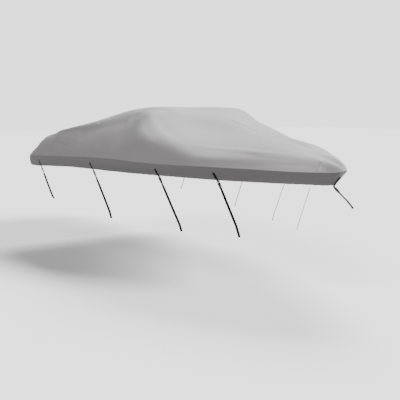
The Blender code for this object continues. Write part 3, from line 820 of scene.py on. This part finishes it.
def shaded_colour(tree, colour, *shades):
    """The base colour times the given shade values."""
    factor = shades[0]
    for shade in shades[1:]:
        factor = math_node(tree, "MULTIPLY", factor, shade)
    scale = tree.nodes.new("ShaderNodeVectorMath")
    scale.operation = "SCALE"
    scale.inputs[0].default_value = colour
    tree.links.new(factor, scale.inputs["Scale"])
    return scale.outputs[0]


def bump(tree, height, strength, distance, before=None):
    """A bump from a height socket, over the normals that come before it."""
    node = tree.nodes.new("ShaderNodeBump")
    node.inputs["Strength"].default_value = strength
    node.inputs["Distance"].default_value = distance
    tree.links.new(height, node.inputs["Height"])
    if before is not None:
        tree.links.new(before, node.inputs["Normal"])
    return node.outputs[0]


def new_material(name):
    """A new material with its node tree and its Principled shader."""
    material = bpy.data.materials.new(name)
    material.use_nodes = True
    return material, material.node_tree, material.node_tree.nodes["Principled BSDF"]


def get_material(name, maker, *colour):
    """The named material, made the first time that it is asked for."""
    return bpy.data.materials.get(name) or maker(name, *colour)


def cloth_uv(tree):
    """The UV map in metres that cloth and webbing carry."""
    node = tree.nodes.new("ShaderNodeUVMap")
    node.uv_map = "cloth"
    return node.outputs["UV"]


def object_place(tree):
    """Places in the object's own coordinates, which are the part's."""
    return tree.nodes.new("ShaderNodeTexCoord").outputs["Object"]


def set_roughness(tree, shader, rumple, change, least):
    """Roughness that follows the mottle."""
    tree.links.new(math_node(tree, "MULTIPLY_ADD", rumple, change, least),
                   shader.inputs["Roughness"])


def cloth_material(name, colour):
    """Coated woven polyester: plain weave, slight mottle, a dull sheen."""
    material, tree, shader = new_material(name)
    weave = place_weave(tree, cloth_uv(tree), 780.0)
    mottle = place_mottle(tree, object_place(tree), 2.2, 30.0, 0.16)
    # colour: the weave's painted shade between the threads, times the mottle's uneven tone
    tree.links.new(shaded_colour(tree, tuple(colour), weave.outputs["Shade"],
                                 mottle.outputs["Shade"]), shader.inputs["Base Color"])
    set_roughness(tree, shader, mottle.outputs["Rumple"], 0.16, 0.66)
    rumple = bump(tree, mottle.outputs["Rumple"], 0.35, 0.004)
    tree.links.new(bump(tree, weave.outputs["Height"], 0.45, 0.0005, rumple),
                   shader.inputs["Normal"])
    shader.inputs["Specular IOR Level"].default_value = 0.30
    shader.inputs["Sheen Weight"].default_value = 0.12
    shader.inputs["Sheen Roughness"].default_value = 0.55
    return material


def webbing_material(name):
    """Black webbing: ribs along the band, crossed by the weft."""
    material, tree, shader = new_material(name)
    uv = cloth_uv(tree)
    weave = place_weave(tree, uv, 640.0)
    mottle = place_mottle(tree, uv, 14.0, 120.0, 0.7)
    # colour: the weave's painted shade between the threads, times the mottle's uneven tone
    tree.links.new(shaded_colour(tree, tuple(colours().webbing), weave.outputs["Shade"],
                                 mottle.outputs["Shade"]), shader.inputs["Base Color"])
    set_roughness(tree, shader, mottle.outputs["Rumple"], 0.2, 0.74)
    tree.links.new(bump(tree, weave.outputs["Height"], 0.8, 0.0007),
                   shader.inputs["Normal"])
    shader.inputs["Specular IOR Level"].default_value = 0.12
    shader.inputs["Sheen Weight"].default_value = 0.02
    return material


def moulded_material(name):
    """Moulded black plastic with a fine spark-eroded grain."""
    material, tree, shader = new_material(name)
    mottle = place_mottle(tree, object_place(tree), 30.0, 900.0, 0.5)
    tree.links.new(shaded_colour(tree, tuple(colours().buckle), mottle.outputs["Shade"]),
                   shader.inputs["Base Color"])
    set_roughness(tree, shader, mottle.outputs["Rumple"], 0.25, 0.28)
    tree.links.new(bump(tree, mottle.outputs["Rumple"], 0.25, 0.0003),
                   shader.inputs["Normal"])
    return material


def thread_material(name, colour):
    """Sewing thread: a dull twist."""
    material, tree, shader = new_material(name)
    mottle = place_mottle(tree, object_place(tree), 60.0, 700.0, 0.3)
    tree.links.new(shaded_colour(tree, colour, mottle.outputs["Shade"]),
                   shader.inputs["Base Color"])
    shader.inputs["Roughness"].default_value = 0.6
    return material


# ---------------------------------------------------------------- the cloth's shape

def core_points(u):
    """Points well inside the cover at stations u."""
    return place(np.clip(u, CORE_BOW, LENGTH - CORE_STERN), 0.0, CORE_HEIGHT)


def upper_surface(u, v, side):
    """Smooth upper cloth and its normals at stations u (n) and values v (n, m)."""
    base = upper_points(u, v, side)
    low_u, high_u = np.maximum(u - STEP_ALONG, 0.0), np.minimum(u + STEP_ALONG, LENGTH)
    low_v, high_v = np.maximum(v - STEP_ACROSS, 0.0), np.minimum(v + STEP_ACROSS, 3.0)
    normal = np.cross(upper_points(high_u, v, side) - upper_points(low_u, v, side),
                      upper_points(u, high_v, side) - upper_points(u, low_v, side))
    short = np.linalg.norm(normal, axis=-1) < 1e-13
    normal[short] = (1.0, 0.0, 0.0)
    normal = turned_to(unit(normal), base - core_points(u)[:, None])
    corner = np.clip((u - CORNER_START) / (LENGTH - CORNER_START), 0.0, 1.0) ** 2
    corner = corner[:, None, None]
    turned = unit(np.stack(np.broadcast_arrays(
        -1.0, side * 0.8 * (v / 3.0) ** 6, 0.5), axis=-1))
    normal = unit(normal * (1.0 - corner) + turned * corner)
    normal[..., 1] = np.where(v < 1e-9, 0.0, normal[..., 1])
    return base, unit(normal)


def dressed_upper(u, v, side, edges):
    """Upper cloth with folds, creases and seams; edges are distances to each edge."""
    base, normal = upper_surface(u, v, side)
    hold = np.minimum(1.0, 3.0 - v)
    near_edge = np.minimum(edges["gunwale"], edges.get("stern", edges["gunwale"]))
    slack = smooth_step(near_edge / SLACK_START)
    nose = smooth_step(u / NOSE_CALM)[:, None]
    press = broad_press(base) * np.clip(hold, 0.0, 1.0)
    press += crease_press(base) * slack * nose
    rise = wave_field(base) * slack * nose
    seams = np.zeros(v.shape)
    gather = np.zeros(v.shape)
    for name, distance in edges.items():
        seams = np.maximum(seams, seam_rise(distance))
        # the cloth gathers a little along its sewn edges
        across = np.exp(-((distance - GATHER_PLACE) / GATHER_WIDTH) ** 2)
        along = base[..., 0] if name in ("centre", "gunwale") else base[..., 1]
        waves = np.sin(2 * np.pi * along / GATHER_PITCH + 1.7 * np.sin(along * 9.0 + 1.0))
        gather += GATHER * across * (waves * (0.5 + 0.5 * np.sin(along * 4.3 + 2.0)))
    return base + normal * (rise + gather * nose - press + seams)[..., None]


def shaped_normals(points, outward):
    """Normals of a finished grid, turned to the side of the given directions."""
    normal = unit(np.cross(np.gradient(points, axis=0), np.gradient(points, axis=1)))
    return turned_to(normal, outward)


def even_values(u, side, count):
    """Values of v for each row: seam marks at both edges, count even steps between."""
    dense = np.broadcast_to(np.linspace(0.0, 3.0, FINE_VALUES), (len(u), FINE_VALUES))
    run = run_lengths(upper_points(u, dense, side), axis=1)
    marks = seam_marks()
    values = np.empty((len(u), count + 2 * len(marks)))
    for row in range(len(u)):
        total = run[row, -1]
        fit = min(1.0, SEAM_SHARE * total / marks[-1])
        edge = marks * fit
        middle = np.linspace(edge[-1], total - edge[-1], count + 2)[1:-1]
        at = np.concatenate((edge, middle, total - edge[::-1]))
        values[row] = np.interp(at, run[row], dense[row])
    return values


def station_rows(first, last):
    """Stations whose rows lie at the seam marks from both ends, and evenly between."""
    dense = np.linspace(first, last, FINE_STEPS)
    lines = upper_points(dense, np.tile((0.0, 1.0, 2.0, 3.0), (FINE_STEPS, 1)), 1)
    run = run_lengths(lines).max(axis=1)
    marks = seam_marks()
    start, end = marks[-1], run[-1] - marks[-1]
    count = max(4, int(round((end - start) / sizes().row_step)))
    middle = np.linspace(start, end, count + 1)[1:-1]
    return np.interp(np.concatenate((marks, middle, run[-1] - marks[::-1])), run, dense)


def seam_lines(points, normals, row_ends, first_row):
    """The lines of stitches along both side edges and the given ends of the rows."""
    lines = []
    for mark in STITCHED:
        for column in (mark, -1 - mark):
            lines.append((points[first_row:, column], normals[first_row:, column]))
        for end in row_ends:
            row = mark if end == 0 else -1 - mark
            lines.append((points[row], normals[row]))
    return lines


def build_upper(side, name):
    """One half of the upper cloth, from the centre seam to the gunwale fold."""
    u = station_rows(NOSE_LENGTH + SEAM_GAP / 2, LENGTH)
    v = even_values(u, side, sizes().columns)
    base = upper_points(u, v, side)
    across = run_lengths(base, axis=1)
    down = run_lengths(base, axis=0)
    edges = {"centre": across, "gunwale": across[:, -1:] - across,
             "nose": down, "stern": down[-1:] - down}
    points = dressed_upper(u, v, side, edges)
    points[:, 0, 1] = side * SEAM_GAP / 2
    normals = shaped_normals(points, upper_surface(u, v, side)[1])
    uv = np.stack((side * across, np.broadcast_to(down[:, :1], across.shape)), axis=-1)
    obj = cloth_sheet(name, points, uv, INSIDE,
                      get_material("cover_cloth", cloth_material, colours().cloth))
    SEWN[name] = seam_lines(points, normals, (0, -1), 0)
    return obj


def build_nose(name):
    """The bow cap: one cloth across both bows, ahead of its seam."""
    marks = seam_marks()
    last = NOSE_LENGTH - SEAM_GAP / 2
    rows = np.linspace(0.0, 1.0, NOSE_ROWS + 1)[:-1] ** 2 * (last - NOSE_SEAM_ROOM)
    dense = np.linspace(0.0, last, NOSE_FINE_STEPS)
    run = run_lengths(upper_points(dense, np.full((NOSE_FINE_STEPS, 1), 2.0), 1)[:, 0])
    u = np.concatenate((rows, np.interp(run[-1] - marks[::-1], run, dense)))
    halves = []
    for side in (-1, 1):
        v = even_values(u, side, NOSE_COLUMNS)
        base = upper_points(u, v, side)
        across = run_lengths(base, axis=1)
        down = run_lengths(base, axis=0)
        edges = {"gunwale": across[:, -1:] - across, "nose": down[-1:] - down}
        halves.append((dressed_upper(u, v, side, edges), upper_surface(u, v, side)[1],
                       side * across, down))
    # starboard gunwale to crown, then crown to port gunwale
    points, outward, across, down = (
        np.concatenate((starboard[:, ::-1], port[:, 1:]), axis=1)
        for starboard, port in zip(*halves))
    points[0] = points[0].mean(axis=0)
    normals = shaped_normals(points, outward)
    beside_crown = down[:, 40:41]
    uv = np.stack((across, np.broadcast_to(beside_crown, across.shape)), axis=-1)
    obj = cloth_sheet(name, points, uv, INSIDE_NOSE,
                      get_material("cover_cloth", cloth_material, colours().cloth), pole=True)
    SEWN[name] = seam_lines(points, normals, (-1,), POLE_ROWS)
    return obj


# ---------------------------------------------------------------- the skirt's shape

def skirt_waves(run, b):
    """Gathers of the skirt along its run: nothing at the top, most at the hem."""
    b = np.clip(b, 0.0, 1.0)
    waves = np.sin(2 * np.pi * run / HEM_GATHER_PITCH + 1.4 * np.sin(run * 7.3 + 0.4))
    hem = HEM_GATHER * (waves * (0.55 + 0.45 * np.sin(run * 3.1 + 1.0)))
    slow = SKIRT_SWELL * np.sin(run * 2.9 + 0.8 * np.sin(run * 1.3))
    return hem * b ** 1.6 + slow * np.sin(np.pi * b) ** 1.2


# Shares of a skirt's depth where its mesh has rows, and which of them is stitched
SKIRT_SHARES = np.concatenate(((0.0, 0.02, 0.05), np.linspace(0.10, 1.0, 13)))
HEM_STITCHED = 13


def hem_section(top, line, outward, run, ends):
    """Rows of a skirt with its rolled hem.

    top is the share at which the skirt starts, and line gives its points at a share;
    the rest is what side_skirt gives for each station."""
    radius, turn, cloth = sizes().hem_radius, sizes().hem_turn, sizes().cloth
    slope = unit(line(1.0) - line(0.92))
    depth = np.linalg.norm(line(1.0) - line(0.0), axis=-1)
    face = unit(outward - slope * np.sum(outward * slope, axis=-1, keepdims=True))
    last = 1.0 - radius / depth
    rows = []
    for share in SKIRT_SHARES:
        b = top + (last - top) * share
        lift = skirt_waves(run, b) * ends
        channel = HEM_CHANNEL * smooth_step((share - CHANNEL_START) / CHANNEL_SLOPE)
        rows.append(line(b) + face * (lift + channel)[:, None])
    centre = rows[-1] - face * radius
    droop = HEM_DROOP * np.sin(run * 11.0 + 2.0 * np.sin(run * 2.3)) * ends
    for angle in np.linspace(0.0, np.pi, HEM_STEPS)[1:]:
        rows.append(centre + face * (radius * math.cos(angle))
                    + slope * (radius * math.sin(angle) + droop * math.sin(angle) ** 2)[:, None])
    gap = 2.0 * cloth + HEM_LAP
    for up in np.linspace(0.0, turn, HEM_STEPS)[1:]:
        settle = smooth_step(np.array((up - HEM_SETTLE[0]) / HEM_SETTLE[1]))
        inward = 2.0 * radius + (gap - 2.0 * radius) * settle
        b = last - up / depth
        lift = skirt_waves(run, b) * ends + HEM_CHANNEL * (1.0 - settle)
        rows.append(line(b) + face * lift[:, None] - face * inward)
    return np.stack(rows, axis=1)


def side_skirt(u, side):
    """Level outward directions of a side skirt at stations u, the run along it, and
    how freely it waves there, which is 0 at its two ends."""
    run = run_lengths(gunwale_points(u, side))
    after, middle, ahead = (
        skirt_points(at[:, None], np.full((len(u), 1), 0.5), side)[:, 0]
        for at in (np.maximum(u - STEP_ALONG, 0.0), u, np.minimum(u + STEP_ALONG, LENGTH)))
    out = np.cross(unit(ahead - after), (0.0, 0.0, 1.0))
    out = unit(turned_to(out, middle - core_points(u)) * np.array((1.0, 1.0, 0.0)))
    stem = smooth_step(u / STEM_TURN)[:, None]
    out = unit(out * stem + np.array((1.0, 0.0, 0.0)) * (1.0 - stem))
    ends = smooth_step(run / CALM_BOW) * smooth_step((run[-1] - run) / CALM_STERN)
    return out, run, ends


def skirt_line(surface, stations, *side):
    """One line of a skirt's surface across all stations, as a function of the share b."""
    def at(b):
        shares = np.broadcast_to(np.atleast_1d(b), (len(stations),))
        return surface(stations, shares[:, None], *side)[:, 0]
    return at


def skirt_sheet(name, rows, run, outward):
    """The sheet of a skirt, with the row of stitches above its hem."""
    down = run_lengths(rows, axis=1)
    uv = np.stack((np.broadcast_to(run[:, None], down.shape), down), axis=-1)
    # the skirt takes the cover's cloth material with the darker skirt grey, which is painted
    # shade
    obj = cloth_sheet(name, rows, uv, INSIDE,
                      get_material("skirt_cloth", cloth_material, colours().skirt))
    normals = shaped_normals(rows, rows - rows.mean(axis=(0, 1)))
    SEWN[name] = [(rows[:, HEM_STITCHED], turned_to(normals[:, HEM_STITCHED], outward))]
    return obj


def build_side_skirt(side, name):
    """One side skirt, from the stem to the stern corner."""
    u = station_rows(0.0, LENGTH)
    out, run, ends = side_skirt(u, side)
    rows = hem_section(SIDE_START, skirt_line(skirt_points, u[:, None], side),
                       out, run, ends)
    rows[..., 1] = side * np.maximum(side * rows[..., 1], 1.5 * STEM_CLEAR)
    obj = skirt_sheet(name, rows, run, out)
    for vert in obj.data.vertices:
        if side * vert.co.y < STEM_CLEAR:
            vert.co.y = side * STEM_CLEAR
    return obj


TRANSOM_RUN = 12.0      # places the transom's waves and weave apart from the sides'
TRANSOM_COLUMNS = 89    # mesh columns from corner to corner


def build_transom_skirt(name):
    """The skirt across the stern, between the two corners."""
    w = np.linspace(-1.0, 1.0, TRANSOM_COLUMNS)[:, None] * (1.0 - CORNER_GAP)
    out = np.broadcast_to(np.array((-1.0, 0.0, 0.0)), (len(w), 3))
    run = TRANSOM_RUN + w[:, 0] * sections(LENGTH)["gunwale_y"]
    ends = smooth_step((1.0 - np.abs(w[:, 0])) / CALM_CORNER)
    rows = hem_section(TRANSOM_TUCK, skirt_line(transom_points, w), out, run, ends)
    return skirt_sheet(name, rows, run, out)


# ---------------------------------------------------------------- the ties

def bent_path(point, before, after, radius, steps):
    """Points of an arc that turns from one direction to another."""
    angle = math.acos(max(-1.0, min(1.0, float(before @ after))))
    across = unit(after - before * float(after @ before))
    points = []
    for k in range(steps):
        turn = angle * (k + 0.5) / steps
        heading = before * math.cos(turn) + across * math.sin(turn)
        point = point + heading * radius * angle / steps
        points.append(point)
    return points


def add_block(bm, low, high):
    """A block between two corners."""
    low, high = Vector(low), Vector(high)
    size = high - low
    bmesh.ops.create_cube(bm, size=1.0, matrix=Matrix.Translation((low + high) / 2)
                          @ Matrix.Diagonal((*size, 1.0)))


def cut_with(obj, cutters):
    """Cut the blocks in the given mesh out of the object."""
    other = mesh_object("cutters", cutters, obj.data.materials[0])
    cut = obj.modifiers.new("Cut", "BOOLEAN")
    cut.operation = "DIFFERENCE"
    cut.solver = "EXACT"
    cut.use_self = True
    cut.object = other
    apply_modifiers(obj)
    mesh = other.data
    bpy.data.objects.remove(other)
    bpy.data.meshes.remove(mesh)


def buckle_pattern():
    """One side-release buckle at the origin: X across, +Y towards the tab, Z face."""
    found = bpy.data.meshes.get("buckle_pattern")
    if found:
        return found
    half_z = BUCKLE_THICK / 2
    bm = bmesh.new()
    outline = [(x * BUCKLE_WIDTH / 2, y * BUCKLE_LENGTH / 2) for x, y in BUCKLE_OUTLINE]
    outline += [(-x, y) for x, y in reversed(outline)]
    face = bm.faces.new([bm.verts.new((x, y, -half_z)) for x, y in outline])
    grown = bmesh.ops.extrude_face_region(bm, geom=[face])
    top = [item for item in grown["geom"] if isinstance(item, bmesh.types.BMVert)]
    bmesh.ops.translate(bm, verts=top, vec=(0.0, 0.0, BUCKLE_THICK))
    bmesh.ops.recalc_face_normals(bm, faces=bm.faces)
    rims = [edge for edge in bm.edges if abs(edge.verts[0].co.z - edge.verts[1].co.z) < 1e-6]
    bmesh.ops.bevel(bm, geom=rims, offset=BUCKLE_ROUND, segments=3, profile=0.5,
                    affect="EDGES", material=-1)
    obj = mesh_object("buckle_pattern", bm, get_material("moulded", moulded_material), sharp=40)
    cuts = bmesh.new()
    for low, high in BUCKLE_SLOTS:
        add_block(cuts, (-BUCKLE_SLOT_HALF, low, -BUCKLE_THICK),
                  (BUCKLE_SLOT_HALF, high, BUCKLE_THICK))
    inner, outer, low, high = BUCKLE_SLIT
    for side in (-1, 1):
        left, right = sorted((side * inner, side * outer))
        add_block(cuts, (left, low, -BUCKLE_THICK), (right, high, BUCKLE_THICK))
        for half, back, front, depth in BUCKLE_GROOVES:
            add_block(cuts, (-half, back, side * half_z - depth),
                      (half, front, side * half_z + depth))
    cut_with(obj, cuts)
    soften_edges(obj, BUCKLE_SOFT, 50)
    mesh = obj.data
    bpy.data.objects.remove(obj)
    mesh.name = "buckle_pattern"
    mesh.use_fake_user = True
    return mesh


def place_buckle(name, centre, along, width_axis, face):
    """A copy of the buckle with its length along the fall of the tie."""
    mesh = buckle_pattern().copy()
    across = unit(width_axis - along * float(width_axis @ along))
    face = unit(face - along * float(face @ along) - across * float(face @ across))
    up = -along
    if np.cross(across, up) @ face < 0.0:
        across = -across
    turn = Matrix((across, up, face)).transposed().to_4x4()
    mesh.transform(Matrix.Translation(centre) @ turn)
    mesh.update()
    obj = bpy.data.objects.new(name, mesh)
    mesh.name = name
    bpy.context.scene.collection.objects.link(obj)
    return obj


def box_stitch(path, across, face, low, high, half):
    """Stitch rows of a box with a cross on a band, between two runs along it."""
    run = run_lengths(path)

    def at(x, s):
        point, side, up = (np.array([np.interp(s, run, field[:, i]) for i in range(3)])
                           for field in (path, across, face))
        return point + side * x + up * (WEB_THICK / 2 + 0.0001), up

    corners = [(-half, low), (half, low), (half, high), (-half, high), (-half, low),
               (half, high)]
    rows = []
    for a, b in list(zip(corners, corners[1:])) + [((-half, high), (half, low))]:
        pairs = [at(a[0] + (b[0] - a[0]) * t, a[1] + (b[1] - a[1]) * t)
                 for t in np.linspace(0.0, 1.0, 6)]
        rows.append((np.array([p for p, n in pairs]), np.array([n for p, n in pairs])))
    return rows


def tab_path(surface, normal, knee, fit):
    """The tab's line down the skirt and over the hem, and the way that it then falls."""
    lift = fit + WEB_THICK / 2
    path = [surface(b) + normal(b) * lift for b in np.linspace(TAB_START, 1.0, 8)]
    slope = unit(path[-1] - path[-2])
    past = path[-1] + slope * TAB_OVERHANG
    fall = unit(knee - past)
    path.append(past)
    path += bent_path(past, slope, fall, TAB_BEND, 6)
    path.append(path[-1] + fall * TAB_PAST_HEM)
    return np.array(path), fall


def turned_back(start, heading, face, radius, tail, steps):
    """Half a circle from the start round behind the face, and a straight tail back."""
    points = [start - face * (radius * (1.0 - math.cos(angle)))
              + heading * radius * math.sin(angle)
              for angle in np.linspace(0.0, math.pi, steps + 1)[1:]]
    return points + [points[-1] - heading * tail]


def strap_path(start, fall, face, aside, knee, end, sway):
    """The webbing's line out of the buckle, down to its knee and on to its free end."""
    last = unit(end - knee)
    web = [start - fall * WEB_INSIDE - face * 0.0002, start + fall * WEB_STRAIGHT]
    for share, swing in ((0.3, 0.6), (0.6, 1.0)):
        web.append(start + (knee - start) * share + face * sway * swing * WEB_SWAY[0]
                   + aside * sway * swing * WEB_SWAY[1])
    web += [knee - fall * WEB_EASE, knee + last * WEB_EASE, end - last * WEB_FOLD_ROOM]
    return smooth_line(web, 8)


def build_tie(label, surface, normal, tangent, hang, knee, end, fit, sway):
    """Tab, buckle and webbing of one tie that hangs from the skirt.

    tangent runs across the tab, and hang across the webbing once it has turned."""
    path, fall = tab_path(surface, normal, knee, fit)
    centre = path[-1] + fall * (FIT_GAP + BUCKLE_LENGTH / 2)
    face = strip_frames(path, tangent, normal(TAB_START))[1][-1]
    # the tab goes on round the buckle's bar and back up behind itself
    front = path[-1] + fall * TAB_BAR
    path = np.vstack((path, front, turned_back(front, fall, face, TAB_LOOP, TAB_LOOP_TAIL, 8)))
    tab, line, across, up = webbing_band("tab_" + label + "_web", path, tangent,
                                         normal(TAB_START), TAB_STEP)
    dress(tab, "tab_" + label)
    stitch_rows("tab_" + label + "_stitches", box_stitch(line, across, up, *TAB_SEWN),
                get_material("black_thread", thread_material, BLACK_THREAD), *TAB_STITCH)

    buckle = place_buckle("buckle_" + label + "_moulded", centre, fall, tangent, face)
    dress(buckle, "buckle_" + label)

    start = centre + fall * (BUCKLE_LENGTH / 2 + FIT_GAP)
    aside = unit(tangent - fall * float(tangent @ fall))
    web = strap_path(start, fall, face, aside, knee, end, sway)
    turn = run_lengths(web) / (WEB_TURN_SHARE * np.linalg.norm(knee - start))
    turn = smooth_step(turn)[:, None]
    axes = unit(tangent * (1.0 - turn) + hang * turn)
    fold = turned_back(web[-1], unit(web[-1] - web[-2]), strip_frames(web, axes, face)[1][-1],
                       WEB_FOLD, WEB_FOLD_TAIL, 7)
    axes = np.vstack((axes, np.broadcast_to(axes[-1], (len(fold), 3))))
    strap = webbing_band("strap_" + label + "_web", np.vstack((web, fold)), axes, face,
                         BOW_STRAP_STEP if label == "bow" else STRAP_STEP)[0]
    dress(strap, "strap_" + label)


def dress(obj, node):
    """Ride a piece on the body and stand it for its solid."""
    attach(obj, "root")
    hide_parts(node)


def channel_rise(b):
    """How far the hem's channel lifts a tab off the skirt at share b."""
    return HEM_CHANNEL * float(smooth_step((b - TAB_CHANNEL_START) / CHANNEL_SLOPE))


def dressed_skirt_line(u, side):
    """The side skirt at one station as a function of the share b, and its outward way."""
    stations = np.array((max(u - 0.01, 0.0), u, u + 0.01))
    out = side_skirt(stations, side)[0][1]
    run = run_lengths(gunwale_points(np.linspace(0.0, u, 400), side))[-1]

    def surface(b):
        lift = float(skirt_waves(run, b)) + channel_rise(b)
        return skirt_point(u, b, side) + out * max(lift, 0.0)

    return surface, out


def build_side_tie(side, label, u, knee, end, sway):
    """A tie on one of the sides."""
    surface, out = dressed_skirt_line(u, side)
    tangent = unit(skirt_point(u - 0.02, 0.7, side) - skirt_point(u + 0.02, 0.7, side))
    turn = math.radians(WEB_TURN)
    hang = np.array((math.cos(turn), -side * math.sin(turn), 0.0))

    def normal(b):
        down = unit(surface(min(b + 0.02, 1.0)) - surface(max(b - 0.02, 0.0)))
        outer = unit(np.cross(down, tangent))
        return outer if outer @ out > 0.0 else -outer

    build_tie(label, surface, normal, tangent, hang, knee, end, FIT_GAP, sway)


def build_bow_tie():
    """The tie at the stem, where the two side skirts meet."""
    top = skirt_point(STEM_STATION, 0.0, 1)

    def surface(b):
        point = skirt_point(STEM_STATION, b, 1)
        down = unit(np.array((point[0] - top[0] + 1e-9, 0.0, point[2] - top[2])))
        return (np.array((point[0], 0.0, point[2]))
                + np.array((-down[2], 0.0, down[0])) * channel_rise(b))

    def normal(b):
        down = unit(surface(b) - surface(b - 0.05))
        return unit(np.array((-down[2], 0.0, down[0])))

    across = np.array((0.0, 1.0, 0.0))
    knee, end = (place(u, 0.0, h) for u, h in (BOW_TIE_KNEE, BOW_TIE_END))
    build_tie("bow", surface, normal, across, across, knee, end, BOW_FIT_GAP, 0.0)


# ---------------------------------------------------------------- the stage

def toward(turn, height):
    """The direction of a place at a turn from the bow towards starboard and a height."""
    turn, height = math.radians(turn), math.radians(height)
    return Vector((math.cos(turn) * math.cos(height), -math.sin(turn) * math.cos(height),
                   math.sin(height)))


def camera_ray(tree, otherwise, seen):
    """One value for what the camera sees directly, and another for the light it gives."""
    path = tree.nodes.new("ShaderNodeLightPath")
    return math_node(tree, "MULTIPLY_ADD", path.outputs["Is Camera Ray"],
                     seen - otherwise, otherwise)


def build_floor():
    """A plain pale floor; what it throws back up is dimmer than what is seen."""
    bm = bmesh.new()
    bmesh.ops.create_grid(bm, x_segments=8, y_segments=8, size=FLOOR_SIZE,
                          matrix=Matrix.Translation((0.0, 0.0, GROUND)))
    material, tree, shader = new_material("pale_floor")
    mottle = place_mottle(tree, object_place(tree), 0.3, 3.0, 0.02)
    tree.links.new(shaded_colour(tree, tuple(colours().floor), mottle.outputs["Shade"],
                                 camera_ray(tree, FLOOR_BOUNCE, 1.0)),
                   shader.inputs["Base Color"])
    shader.inputs["Roughness"].default_value = 0.95
    shader.inputs["Specular IOR Level"].default_value = 0.0
    return mesh_object("floor", bm, material)


def build_room():
    """A white room all round that gives hardly any light of its own."""
    world = bpy.data.worlds.new("pale_room")
    world.use_nodes = True
    sky = world.node_tree.nodes["Background"]
    sky.inputs["Color"].default_value = (1.0, 1.0, 1.0, 1.0)
    world.node_tree.links.new(camera_ray(world.node_tree, SKY_LIGHT, SKY_SEEN),
                              sky.inputs["Strength"])
    return world


# ---------------------------------------------------------------- operators

class CoverUppers(bpy.types.Operator):
    """Make the bow cap and the two halves of the upper cloth"""
    bl_idname = "boat_cover.uppers"
    bl_label = "Upper cloth"

    def execute(self, context):
        dress(build_nose("nose_cap_cloth"), "nose_cap")
        for side, label in SIDES:
            half = build_upper(side, "upper_" + label + "_cloth")
            dress(half, "upper_" + label)
        return {"FINISHED"}


class CoverSkirts(bpy.types.Operator):
    """Make the inturned skirt along both sides and across the stern"""
    bl_idname = "boat_cover.skirts"
    bl_label = "Skirt"

    def execute(self, context):
        for side, label in SIDES:
            skirt = build_side_skirt(side, "skirt_" + label + "_cloth")
            dress(skirt, "skirt_" + label)
        dress(build_transom_skirt("skirt_transom_cloth"), "skirt_transom")
        return {"FINISHED"}


class CoverStitches(bpy.types.Operator):
    """Sew the rows of stitches along the seams and the hem"""
    bl_idname = "boat_cover.stitches"
    bl_label = "Stitching"

    def execute(self, context):
        thread = get_material("grey_thread", thread_material, GREY_THREAD)
        for name, rows in SEWN.items():
            sewn = stitch_rows(name.replace("_cloth", "_stitches"), rows, thread)
        return {"FINISHED"}


class CoverTies(bpy.types.Operator):
    """Make the webbing tabs, buckles and straps"""
    bl_idname = "boat_cover.ties"
    bl_label = "Ties"

    def execute(self, context):
        for side, label in SIDES:
            for number, u, knee_y, knee_h, end_y, end_h in TIES:
                build_side_tie(side, label + "_" + str(number), u,
                               place(u, side * knee_y, knee_h), place(u, side * end_y, end_h),
                               math.sin(3.0 * number + side))
        build_bow_tie()
        return {"FINISHED"}


class CoverDeclare(bpy.types.Operator):
    """An empty step: it declares no sheet of cloth and changes nothing"""
    bl_idname = "boat_cover.declare"
    bl_label = "Cloth sizes"

    def execute(self, context):
        return {"FINISHED"}


class CoverStage(bpy.types.Operator):
    """Make the pale floor, the soft light and the camera"""
    bl_idname = "boat_cover.stage"
    bl_label = "Stage"

    def execute(self, context):
        build_floor()
        context.scene.world = build_room()
        for name, turn, height, strength, size in LIGHTS:
            light = bpy.data.lights.new(name, "SUN")
            light.energy = strength
            light.angle = math.radians(size)
            lamp = bpy.data.objects.new(name, light)
            context.scene.collection.objects.link(lamp)
            lamp.rotation_euler = toward(turn, height).to_track_quat("Z", "Y").to_euler()

        data = bpy.data.cameras.new("camera")
        data.lens = CAMERA_LENS
        data.sensor_width = 36.0
        data.clip_end = 200.0
        camera = bpy.data.objects.new("camera", data)
        context.scene.collection.objects.link(camera)
        camera.location = CAMERA_PLACE
        looking = -toward(CAMERA_TURN, CAMERA_FALL)
        camera.rotation_euler = looking.to_track_quat("-Z", "Y").to_euler()
        context.scene.camera = camera
        return {"FINISHED"}


# The steps in order, each with its icon in the panel
STEPS = (
    ("uppers", "MESH_GRID"),
    ("skirts", "MOD_CLOTH"),
    ("stitches", "MOD_SIMPLEDEFORM"),
    ("ties", "LINKED"),
    ("declare", "CHECKMARK"),
    ("stage", "LIGHT_SUN"),
)


class CoverPanel(bpy.types.Panel):
    """Sizes, colours and steps of the cover"""
    bl_idname = "VIEW3D_PT_boat_cover"
    bl_label = "Boat cover"
    bl_space_type = "VIEW_3D"
    bl_region_type = "UI"
    bl_category = "Boat cover"

    def draw(self, context):
        for group in (context.scene.cover_sizes, context.scene.cover_colours):
            box = self.layout.box()
            for name in group.__annotations__:
                box.prop(group, name)
        for step, icon in STEPS:
            self.layout.operator("boat_cover." + step, icon=icon)


CLASSES = (CoverSizes, CoverColours, CoverUppers, CoverSkirts, CoverStitches, CoverTies,
           CoverDeclare, CoverStage, CoverPanel)


def register():
    """Make the classes and their settings known to Blender."""
    for cls in CLASSES:
        bpy.utils.register_class(cls)
    bpy.types.Scene.cover_sizes = bpy.props.PointerProperty(type=CoverSizes)
    bpy.types.Scene.cover_colours = bpy.props.PointerProperty(type=CoverColours)


def unregister():
    """Take them away again."""
    del bpy.types.Scene.cover_colours
    del bpy.types.Scene.cover_sizes
    for cls in reversed(CLASSES):
        bpy.utils.unregister_class(cls)


def main():
    """Build the cover and its stage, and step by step."""
    register()
    bpy.ops.boat_cover.uppers()
    bpy.ops.boat_cover.skirts()
    bpy.ops.boat_cover.stitches()
    bpy.ops.boat_cover.ties()
    bpy.ops.boat_cover.declare()
    bpy.ops.boat_cover.stage()


if __name__ == "__main__":
    main()
